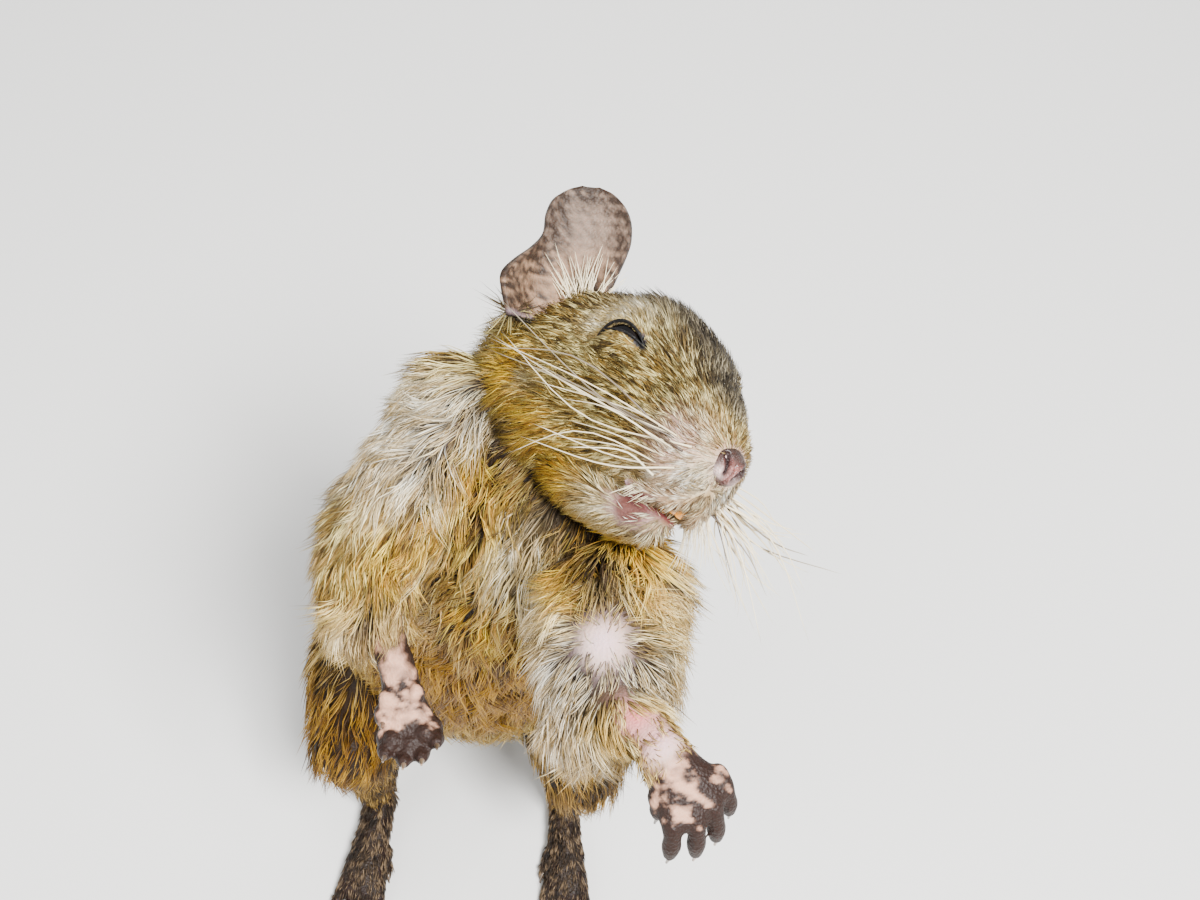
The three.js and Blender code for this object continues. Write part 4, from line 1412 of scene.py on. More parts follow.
    def shades(self, body: Body, seen: Array) -> Array:
        """The colours of hair at each point of the skin: a mean of each form's front and rear shades
        by how far the skin faces front and up, over which the patches are laid in turn. A ripple then
        darkens it with painted shade, as in the gaps where the coat of the body parts.

        Args:
            body: the skin.
            seen: where the middle of the hair of each point shows.

        Returns:
            Points, the four colours of a shade, colour.
        """
        frontness = smooth(-0.45, 0.35, body.normals @ np.array([0.0, -0.8, 0.6]))
        mixed = np.zeros((len(body.points), 4, 3))
        for growth, share in zip(body.growths, body.shares.T, strict=True):
            front, rear = growth.front.light(), growth.rear.light()
            colours = rear + (front - rear) * frontness[:, None, None]
            mixed += colours * share[:, None, None]
        for patch in self.every_patch():
            weight = np.clip(patch.weight(seen) * self.gain, 0, 1)[:, None, None]
            mixed = mixed * (1 - weight) + patch.shade.light() * weight
        # A ripple paints shade into the hair, as in gaps where the coat parts, least on the head.
        waves = ripple(seen * np.array([1, 1, 0.6]), self.parting_size, 61)
        shaded_gaps = smooth(0.5, 1.3, waves) * (1 - 0.75 * body.shares[:, 0])
        return mixed * (1 - self.parting_dark * shaded_gaps[:, None, None])

    def paw_mask(self, paw: Paw, points: Array) -> Array:
        """Where a paw or foot is: past the wrist or heel in its own frame.

        Args:
            paw: whose mask it is.
            points: places.

        Returns:
            1 on it and 0 elsewhere.
        """
        own = paw.pose.inside(points)
        near = smooth(34, 30, np.linalg.norm(own, axis=-1))
        beside = smooth(9, 7, np.abs(own[:, 2])) * smooth(10, 8, np.abs(own[:, 0]))
        return near * beside * smooth(1.0, -1.5, own[:, 1])

    def ear_mask(self, points: Array) -> Array:
        """Where the thin part of the ears is: by the distance along the ear's axis and from its cup.

        Args:
            points: places.

        Returns:
            1 on it and 0 elsewhere.
        """
        own = HEAD_POSE.inside(points)
        mask = np.zeros(len(points))
        for ear in EARS:
            root, along, facing, _ = ear.frame()
            off = own - root
            radial = off - facing * ear.cup_radius
            radial = radial - along * (radial @ along)[:, None]
            gap = np.abs(np.linalg.norm(radial, axis=-1) - ear.cup_radius - 0.4)
            near = smooth(24, 22, np.linalg.norm(off, axis=-1))
            mask = np.maximum(mask, smooth(2.2, 1.2, gap) * smooth(-3.6, -2.6, off @ along) * near)
        return mask

    def slit_distance(self, head: Head, points: Array) -> Array:
        """Distance to the nearer slit between the lids.

        Args:
            head: that has them.
            points: places.

        Returns:
            One distance for each place.
        """
        own = HEAD_POSE.inside(points)
        gaps = []
        s = np.linspace(-1, 1, 9)
        for side in Side:
            line = head.lid_arc(side, s, head.fissure_opening / 2, head.eye_radius + head.lid)
            gaps.append(np.linalg.norm(own[:, None] - line, axis=-1).min(1))
        return np.minimum(*gaps)

    def bareness(self, body: Body) -> Array:
        """How bare each point is, from 0 to 1: the largest of the bare places' bells and masks, and
        of the right forearm and the edges of the lids."""
        points = body.points
        bare = self.ear_mask(points)
        for paw in PAWS:
            bare = np.maximum(bare, self.paw_mask(paw, points) * paw.bare)
        for spot in self.bare_spots:
            bare = np.maximum(bare, spot.weight(points))
        fore = FOREARM[Side.RIGHT]
        bare = np.maximum(bare, body.part_of(fore) * smooth(0.0, 0.25, body.along_part(fore)))
        return np.maximum(bare, smooth(1.25, 1.0, self.slit_distance(body.head, points)))

    def skin(self, body: Body, shades: Array, length: Array, bare: Array) -> Array:
        """Colour of the skin itself: the dark of the hair's base where it grows long and its middle
        where it is short, mauve pink where it is bare, redder at the left wrist, mauve brown on the
        ears, the mouth's dark red, which is its red with painted shade, and black round the eyes. The
        paws are blotched where ripples, their mottle and the nearness of their tips add up, and painted
        shade darkens their edges where they turn side on to a view from above and in front.

        Args:
            body: the skin.
            shades: colours of the hair.
            length: of the hair.
            bare: how bare each point is.

        Returns:
            A colour for each point.
        """
        points = body.points
        own = HEAD_POSE.inside(points)
        short = smooth(6.0, 2.0, length)[:, None]
        under = shades[:, 0] * 0.5 * (1 - short) + shades[:, 1] * 0.7 * short
        colour = laid_over(under, self.bald, bare)
        colour = laid_over(colour, self.sore, bell(points, self.sore_place, self.sore_radius) * bare)
        # Paws get painted shade at edges that turn side on to a view from above and in front.
        side_on = 1 - np.abs(body.normals @ unit(np.array([0.0, -0.5, 0.8])))
        blotches_and_edge_shade = self.fine_skin(points) + 2.4 * side_on - 1.2
        for paw in PAWS:
            mask = self.paw_mask(paw, points)
            if paw is FOREPAWS[Side.RIGHT]:
                mask = np.maximum(mask, smooth(0.3, 0.6, body.part_of(FOREARM[Side.RIGHT])))
            tips = smooth(-paw.tip + 6.0, -paw.tip + 1.0, paw.pose.inside(points)[:, 1])
            low = blotches_and_edge_shade + 1.3 * paw.mottle + 2.4 * tips
            half_dark = tuple(0.6 * tone for tone in paw.skin)
            colour = laid_over(colour, paw.skin, mask)
            colour = laid_over(colour, half_dark, smooth(-1.2, 0.2, low) * mask * 0.7)
            colour = laid_over(colour, self.blotch_and_edge_shade, smooth(-0.25, 0.5, low) * mask * 0.98)
        ear = self.ear_mask(points)[:, None]
        colour = colour * (1 - ear) + self.ear_colour(points) * ear
        colour = laid_over(colour, self.chin, np.clip(1.6 * bell(folded(own), CHIN, 3.2), 0, 1))
        # The mouth's red is darkened as painted shade where the lips part.
        deep = (own - np.array(self.mouth_place)) * np.array(self.mouth_shape)
        colour = laid_over(colour, self.mouth, smooth(4.9, 3.4, np.linalg.norm(deep, axis=-1)))
        return laid_over(colour, self.lid, smooth(1.35, 1.05, self.slit_distance(body.head, points)))

    @staticmethod
    def fine_skin(points: Array) -> Array:
        """Blotches of several sizes: ripples added, the finer ones weaker."""
        return ripple(points, 4.2, 5) + 0.7 * ripple(points, 1.9, 6) + 0.4 * ripple(points, 0.9, 7)

    def ear_colour(self, points: Array) -> Array:
        """Mauve grey-brown, warmer low down, darker towards the edge with small mottles, and nearly
        black with painted shadow in the hole at its root."""
        own = HEAD_POSE.inside(points)
        colour = np.zeros((len(points), 3))
        total = np.full((len(points), 1), 1e-9)
        mottle = 0.4 * ripple(points, 1.1, 11) + 0.4 * ripple(points, 2.6, 12) + 0.2 * ripple(points, 0.6, 13)
        for ear in EARS:
            root, along, facing, rear = ear.frame()
            off = own - root
            up = (off @ along) / ear.length
            rows = spline(ear.rows, np.linspace(0, 1, 40))
            place = np.clip(up, 0, 1)
            front = np.interp(place, rows[:, 0], rows[:, 1])
            back = np.interp(place, rows[:, 0], rows[:, 2])
            sideways = off @ rear
            rim = smooth(-front * 0.3, -front, sideways)
            rim = np.maximum(rim, smooth(back * 0.05, back * 0.8, sideways))
            rim = np.maximum(rim, smooth(0.66, 0.98, up))
            tone = np.clip(0.12 + 0.8 * rim + mottle * (0.6 + 0.4 * rim), 0, 1)
            pale = laid_over(even(self.ear_high, len(points)), self.ear_low, smooth(0.6, 0.2, up))
            shown = laid_over(pale, self.ear_dark, tone)
            # Painted shadow in the hole of the ear at its root.
            hole = bell(off - along * 3.0 + rear * 0.5, (0, 0, 0), 2.6)
            shown = laid_over(shown, self.ear_hole_shadow, np.clip(1.3 * hole, 0, 1))
            near = np.exp(-np.linalg.norm(off, axis=-1, keepdims=True) / 4)
            colour += shown * near
            total += near
        return colour / total


# The coat


@dataclass(frozen=True)
class Pelt:
    """Tufts of one region: how many, their width, pieces along each, how far they gather into locks
    and how many to a lock, the record's slot and the number of meshes."""

    region: Region
    tufts: int
    width: float
    stretches: int
    locks: float
    lock: int
    slot: str
    meshes: int

    @property
    def shares(self) -> Array:
        """Places along a tuft, as shares of its length."""
        return np.linspace(0, 1, self.stretches + 1)


PELTS = (
    Pelt(Region.HEAD, 50000, 0.15, 2, 0.4, 9, "agouti_fur", 3),
    Pelt(Region.TRUNK, 40000, 0.25, 2, 0.72, 14, "golden_fur", 3),
    Pelt(Region.ARM_RIGHT, 12000, 0.2, 3, 0.62, 18, "pale_fur", 1),
    Pelt(Region.ARM_LEFT, 12000, 0.19, 3, 0.62, 18, "pale_fur", 1),
    Pelt(Region.LEGS, 16000, 0.25, 2, 0.5, 12, "agouti_fur", 1),
    Pelt(Region.TAIL, 5000, 0.22, 2, 0.2, 6, "dark_fur", 1),
)


@dataclass
class Coat:
    """Mesh tufts over the skin. A noise is the spread of normal draws, and tipped is the share of
    tufts that end in their shade's tip. The profile is a tuft's thickness at shares of its length.
    Quick part and quick width, for a quicker build of fewer and wider tufts, are not used."""

    body: Body
    markings: Markings
    bare: Array
    patch: float = 0.003
    root_depth: float = 0.3
    bend: float = 0.42
    swing_noise: float = 0.14
    sway_noise: float = 0.13
    stand_noise: float = 5.0
    shade_noise: float = 0.42
    tipped: float = 0.45
    profile: tuple = ((0, 0.8), (0.4, 1.0), (0.75, 0.55), (1, 0.0))
    quick_part: int = 4
    quick_width: float = 1.7
    length: Array = field(init=False)
    lie: Array = field(init=False)
    shades: Array = field(init=False)
    rng: Generator = field(init=False)

    def __post_init__(self) -> None:
        """Works out length, lie and shades at each point of the skin."""
        self.length = self.hair_length()
        self.lie = self.hair_lie()
        seen = self.body.points + self.lie * self.length[:, None] * 0.6
        self.shades = self.markings.shades(self.body, seen)

    def hair_length(self) -> Array:
        """Length at each point of the skin: the mean of the forms' lengths by their shares, shorter
        round the eyes and the nose, on bare skin and round the bald elbow."""
        body = self.body
        total = np.zeros(len(body.points))
        for k, growth in enumerate(body.growths):
            start, end = growth.length
            total += body.shares[:, k] * (start + (end - start) * body.along[:, k] ** growth.power)
        slit = self.markings.slit_distance(body.head, body.points)
        bald = np.linalg.norm(body.points - np.array(BALD_ELBOW), axis=-1)
        total = total * (0.3 + 0.7 * smooth(2.0, 10.0, bald))
        nose = np.linalg.norm(HEAD_POSE.inside(body.points), axis=-1)
        total = np.minimum(total, 1.1 + 0.38 * nose)
        return np.minimum(total, 1.2 + 0.7 * slit) * (1 - 0.4 * self.bare)

    def hair_lie(self) -> Array:
        """Direction of the hair at each point of the skin: the forms' own, drawn down a little, and
        turned out from the bald elbow and the whorl of the shoulder by bells round them."""
        points = self.body.points
        lie = unit(self.body.lie) + np.array([0, 0, -0.25])
        for middle, radius, pull in ((BALD_ELBOW, 9.0, 3.0), (SHOULDER_WHORL, 6.0, 1.1)):
            away = points - np.array(middle)
            lie = lie + unit(away) * pull * np.exp(-(away**2).sum(-1, keepdims=True) / radius**2)
        return unit(lie - self.body.normals * dot(lie, self.body.normals))

    def grow(self, pelt: Pelt, seed: int, finish: Material) -> None:
        """Makes the tufts of one region and puts them in its meshes.

        Args:
            pelt: what to grow.
            seed: of the random numbers.
            finish: their material.
        """
        self.rng = rng = np.random.default_rng(seed)
        body = self.body
        count = pelt.tufts
        widen = 1.0
        belongs = np.array([growth.region is pelt.region for growth in body.growths])
        dense = np.array([growth.density for growth in body.growths])
        share = (body.shares * belongs * dense).sum(-1) * (body.shares[:, belongs].sum(-1) > 0.5)
        weight = share * (1 - self.bare) ** 2
        one, two, three = (body.points[corner] for corner in body.faces.T)
        area = np.linalg.norm(np.cross(two - one, three - one), axis=-1)
        chance = area * weight[body.faces].mean(1)
        picked = np.searchsorted(np.cumsum(chance) / chance.sum(), np.sort(rng.random(count)))
        mix = rng.dirichlet((1.0, 1.0, 1.0), count)
        triangle = body.faces[np.minimum(picked, len(body.faces) - 1)]

        def at(values: Array) -> Array:
            """Values of the skin's points, at the roots."""
            shape = (count, 3) + (1,) * (values.ndim - 1)
            return (values[triangle] * mix.reshape(shape)).sum(1)

        root, normal = at(body.points), unit(at(body.normals))
        length = at(self.length)
        loose = smooth(6.0, 9.5, length)
        swing = (0.18 + 0.3 * loose) * ripple(root, 9, 21) + (0.1 + 0.3 * loose) * ripple(root, 3.5, 22)
        swing = swing + rng.normal(0, self.swing_noise, count)
        lie = unit(at(self.lie))
        lie = unit(lie + np.cross(normal, lie) * swing[:, None])
        length = length * rng.uniform(0.7, 1.12, count) * (1 + 0.14 * ripple(root, 7, 23))
        stand = (at(body.shares) * np.array([g.stand for g in body.growths])).sum(-1)
        stand = stand * (1 + 0.35 * ripple(root, 5, 24)) + rng.normal(0, self.stand_noise, count)
        paths = self.paths(root, normal, lie, length, np.radians(stand), pelt.shares)
        paths, leader = self.gathered(paths, length, pelt)
        profile = np.interp(pelt.shares, *np.array(self.profile).T)
        slim = 0.75 + 0.25 * smooth(1.0, 5.0, length)
        size = pelt.width * widen / 2 * (rng.uniform(0.75, 1.25, count) * slim)[:, None] * profile
        paths[..., 2] = np.maximum(paths[..., 2], size + 0.02)
        colours = self.colours(at(self.shades), leader, pelt.shares)
        self.put(pelt, finish, paths, size, colours, at(body.unwrap))

    def paths(
        self, root: Array, normal: Array, lie: Array, length: Array, stand: Array, s: Array
    ) -> Array:
        """Line of each tuft, from a little under the skin: along the lie by s, off the skin by the
        sine of its stand times s less a share of s squared, and sideways by a share of s squared that
        ripples over the skin where the coat is long.

        Args:
            root: places on the skin.
            normal: directions out of the skin.
            lie: directions along it.
            length: of each.
            stand: angles off the skin.
            s: shares along a tuft.

        Returns:
            Tufts, places along one, coordinates.
        """
        s = s[None, :, None]
        across = np.cross(normal, lie)[:, None]
        loose = smooth(4.0, 9.5, length)
        sway = 0.45 * loose * ripple(root, 4.5, 25) + self.rng.normal(0, self.sway_noise, len(root))
        reach = length[:, None, None]
        rise = np.sin(stand)[:, None, None] * (s - self.bend * s**2)
        ahead = np.cos(stand)[:, None, None] * s
        start = (root - normal * np.minimum(self.root_depth, 0.05 * length)[:, None])[:, None]
        aside = across * sway[:, None, None] * s**2
        return start + reach * (lie[:, None] * ahead + normal[:, None] * rise + aside)

    def gathered(self, paths: Array, length: Array, pelt: Pelt) -> tuple[Array, Array]:
        """Draws tufts together in locks: each moves towards the path of the nearest of a smaller
        number of leading tufts, by a share that grows along it.

        Args:
            paths: of the tufts.
            length: of each.
            pelt: whose locks they are.

        Returns:
            The moved paths, and the leader of each tuft.
        """
        leaders = self.rng.choice(len(paths), max(len(paths) // pelt.lock, 1), replace=False)
        middles = paths[leaders, 1]
        chosen = np.empty(len(paths), int)
        for some in np.array_split(np.arange(len(paths)), len(paths) // 4000 + 1):
            block = paths[some, 1]
            gaps = (block**2).sum(-1)[:, None] - 2 * block @ middles.T + (middles**2).sum(-1)
            chosen[some] = leaders[gaps.argmin(1)]
        pull = pelt.locks * self.rng.uniform(0.4, 1.3, (len(paths), 1, 1))
        pull = pull * pelt.shares[None, :, None] ** 1.4
        leader = paths[chosen]
        stretch = (length / length[chosen])[:, None, None]
        target = leader[:, :1] + (leader - leader[:, :1]) * stretch
        return paths + (target - paths) * np.clip(pull, 0, 0.92), chosen

    def colours(self, shades: Array, leader: Array, s: Array) -> Array:
        """Colour at each place of each tuft: a tuft is mostly of the middle shade, some are light and
        some dark, the tufts of a lock alike, all darken to the root by a smooth step and some end in
        the shade's tip.

        Args:
            shades: dark, middle, light and tip at the roots.
            leader: number of each tuft's lock.
            s: shares along a tuft.

        Returns:
            Tufts, places along one, colour.
        """
        count, rng = len(shades), self.rng
        dark, middle, light, tip = (shades[:, k] for k in range(4))
        lock = rng.normal(0, self.shade_noise, count)[leader]
        kind = (lock + rng.normal(0, self.shade_noise, count))[:, None]
        main = middle + (light - middle) * np.clip(1.6 * kind, 0, 1)
        main = main + (dark - middle) * np.clip(-kind, 0, 0.9)
        main = main * rng.uniform(0.86, 1.14, (count, 1))
        deep = smooth(0.0, 0.8, s)[None, :, None]
        body = dark[:, None] * 0.6 * (1 - deep) + main[:, None] * deep
        ends = np.where(rng.random((count, 1)) < self.tipped, tip, main)[:, None]
        last = (0.75 * smooth(0.55, 1.0, s))[None, :, None]
        return body * (1 - last) + ends * last

    def put(
        self, pelt: Pelt, finish: Material, paths: Array, size: Array, colours: Array, place: Array
    ) -> None:
        """Puts tufts in meshes, each with its colours and a patch of the unwrap for each tuft.

        Args:
            pelt: whose tufts they are.
            finish: their material.
            paths: of the tufts.
            size: their radius at each place.
            colours: at each place.
            place: of the roots on the unwrap.
        """
        which = tube_places(paths.shape[1])
        across = np.append(np.tile([0.0, 0.5, 1.0], pelt.stretches), 0.5)
        patch = np.stack([across, which / pelt.stretches], -1) * self.patch
        order = np.argsort(place[:, 1] * 8 + self.rng.random(len(place)) * 0.01)
        for part, chosen in enumerate(np.array_split(order, pelt.meshes)):
            points, faces = thin_tubes(paths[chosen], size[chosen])
            suffix = f"_{part + 1}" if pelt.meshes > 1 else ""
            piece = put_mesh(f"coat_{pelt.region.value}{suffix}", points, faces)
            tint(piece, colours[chosen][:, which].reshape(-1, 3))
            flat = (place[chosen][:, None] + patch).reshape(-1, 2)
            layer = piece.data.uv_layers.new(name="OFBake")
            layer.data.foreach_set("uv", flat[faces.ravel()].astype(np.float32).ravel())
            dress(piece, finish, pelt.slot)


# Eyes, teeth, nose, claws, whiskers


@dataclass(frozen=True)
class Eyes:
    """Two glossy balls behind the lids, almost black, with a dark brown iris."""

    head: Head
    black: Colour = (4, 3, 3)
    brown: Colour = (16, 10, 8)
    rays: int = 46
    finish: Finish = Finish("wet black eye", 0.04, gloss=0.5, wet=1.0, pores=3000, depth=0.05)

    def build(self) -> None:
        """Balls of the eye's radius. The iris is a ring between two smooth steps of the distance from
        the pupil's middle, crossed by rays that are a sine of the angle."""
        material = self.finish.material()
        for side in Side:
            middle, out, forward, up = self.head.eye_frame(side)
            form = ball(middle, out * 0.02, self.head.eye_radius, HEAD_POSE)
            points, faces = form.surface(steps=2, sides=48, dome=20)
            off = (HEAD_POSE.inside(points) - middle) / self.head.eye_radius
            across, high = off @ forward, off @ up
            away = np.hypot(across, high)
            rays = 0.75 + 0.25 * np.sin(np.arctan2(high, across) * self.rays)
            iris = smooth(0.3, 0.42, away) * smooth(0.85, 0.6, away) * rays
            piece = put_mesh(f"eyeball_{side.word}", points, faces)
            tint(piece, laid_over(even(self.black, len(points)), self.brown, iris))
            dress(piece, material, "eye", f"eye_{side.word}")


@dataclass(frozen=True)
class Incisors:
    """Two pairs of front teeth: a curved form that thins to a chisel's edge. Rows are back, up and
    half-thickness, from root to edge."""

    upper: tuple[Place, ...] = (
        (6.4, -4.6, 0.9), (5.2, -6.0, 0.9), (4.6, -7.2, 0.8), (4.5, -8.4, 0.55), (4.6, -9.3, 0.22),
    )
    lower: tuple[Place, ...] = (
        (9.6, -11.8, 0.8), (8.2, -11.1, 0.8), (7.3, -10.4, 0.7), (6.7, -9.6, 0.5), (6.4, -8.8, 0.2),
    )
    half_width: float = 0.72
    half_gap: float = 0.04
    orange: Colour = (182, 104, 4)
    streak: Colour = (140, 72, 4)
    edge: Colour = (210, 148, 44)
    finish: Finish = Finish("orange enamel", 0.2, gloss=0.5, wet=0.5, pores=5000, depth=0.1)

    def build(self) -> None:
        """Puts each pair in a piece of its own, orange with streaks along it that are a sine of the
        place across, and paler at the edge."""
        material = self.finish.material()
        for word, rows in (("upper", self.upper), ("lower", self.lower)):
            teeth = []
            for side in Side:
                out = side.value * (self.half_width + self.half_gap)
                stations = tuple((out, back, up, self.half_width, thick) for back, up, thick in rows)
                teeth.append(Loft(stations, pose=HEAD_POSE).surface(steps=24, sides=24, dome=4))
            points, faces = gather(teeth)
            own = HEAD_POSE.inside(points)
            tip, root = rows[-1][1], rows[0][1]
            edge = smooth(0.55, 1.0, (own[:, 2] - root) / (tip - root))
            streak = 0.5 + 0.5 * np.sin(own[:, 0] * 14 + 0.6 * np.sin(own[:, 2] * 3))
            colour = laid_over(even(self.orange, len(points)), self.streak, 0.5 * streak)
            piece = put_mesh(f"incisor_pair_{word}", points, faces)
            tint(piece, laid_over(colour, self.edge, 0.4 * edge))
            dress(piece, material, "tooth", f"{word}_incisors")


@dataclass(frozen=True)
class NosePad:
    """The moist pad of the nose, with a comma-shaped nostril on each side of a groove."""

    radii: Place = (3.0, 1.5, 2.8)
    place: Place = (0, 0.7, -0.1)
    nostril: tuple[Place, ...] = ((0.9, -1.0, -1.2), (1.2, -1.1, -0.3), (1.6, -1.0, 0.4), (2.0, -0.7, 0.9))
    sunk: float = 0.8
    raised: float = 0.24
    groove: float = 0.28
    pink: Colour = (158, 98, 90)
    mottle: Colour = (88, 50, 42)
    dark: Colour = (44, 26, 20)
    rim: Colour = (44, 28, 22)
    wing: Colour = (240, 208, 200)
    hole: Colour = (30, 8, 8)
    line: Colour = (70, 34, 30)
    finish: Finish = Finish("moist nose", 0.42, gloss=0.35, wet=0.15, flesh=0.15, pores=3400, depth=0.6)

    def build(self) -> None:
        """An ellipsoid of cosines and sines of two angles, sunk along its normal by bells round the
        nostrils' lines and the middle groove, and raised round the nostrils."""
        turns = np.linspace(0, 2 * math.pi, 96, endpoint=False)
        tilts = np.linspace(0, math.pi, 66)[1:-1]
        tilt, turn = np.meshgrid(tilts, turns, indexing="ij")
        way = np.stack([np.sin(tilt) * np.cos(turn), -np.cos(tilt), np.sin(tilt) * np.sin(turn)], -1)
        flat = np.array(self.radii) * way
        line = spline(self.nostril, np.linspace(0, 1, 16))
        away = np.linalg.norm(folded(flat)[..., None, :] - line, axis=-1).min(-1)
        front = smooth(0.1, -0.6, flat[..., 1])
        sunk = self.sunk * np.exp(-((away / 0.42) ** 2))
        sunk = sunk - self.raised * np.exp(-(((away - 0.75) / 0.32) ** 2))
        groove = self.groove * np.exp(-((flat[..., 0] / 0.22) ** 2)) * smooth(1.5, 0.3, flat[..., 2])
        points = np.array(self.place) + flat - way * ((sunk + groove) * front)[..., None]
        ends = np.array(self.place) + np.array([[0, -1, 0], [0, 1, 0]]) * self.radii[1]
        piece = put_mesh("nose", *closed_tube(HEAD_POSE.out(points), *HEAD_POSE.out(ends)))
        out, up = np.abs(flat[..., 0]), flat[..., 2]
        rim = smooth(1.4, 2.5, np.hypot(out, up) + 0.3 * ripple(flat, 1.1, 31))
        wing = np.exp(-(((out - 1.6) / 0.9) ** 2) - (((up + 1.3) / 0.8) ** 2))
        # Dark pigment with painted shade, on the top and the animal's left side of the pad.
        pigment_and_shade = np.maximum(smooth(0.0, 1.4, up), smooth(0.4, 1.6, flat[..., 0]))
        layers = (
            (self.mottle, 0.45 + 0.4 * ripple(flat, 0.8, 32).clip(-1, 1)),
            (self.dark, 0.9 * pigment_and_shade),
            (self.rim, 0.92 * rim),
            (self.wing, 0.8 * wing * (1 - 0.6 * pigment_and_shade)),
            # Nostrils nearly black with painted shadow in their holes, and the groove darker with painted
            # shade.
            (self.hole, (1.5 * np.exp(-((away / 0.5) ** 2))).clip(0, 1)),
            (self.line, (2.6 * groove).clip(0, 0.9)),
        )
        colour = even(self.pink, *flat.shape[:2])
        for shade, mask in layers:
            colour = laid_over(colour, shade, mask)
        ends_colour = np.array([colour[0].mean(0), colour[-1].mean(0)])
        tint(piece, np.concatenate([ends_colour[:1], colour.reshape(-1, 3), ends_colour[1:]]))
        dress(piece, self.finish.material(), "nose_skin", "nose_pad")


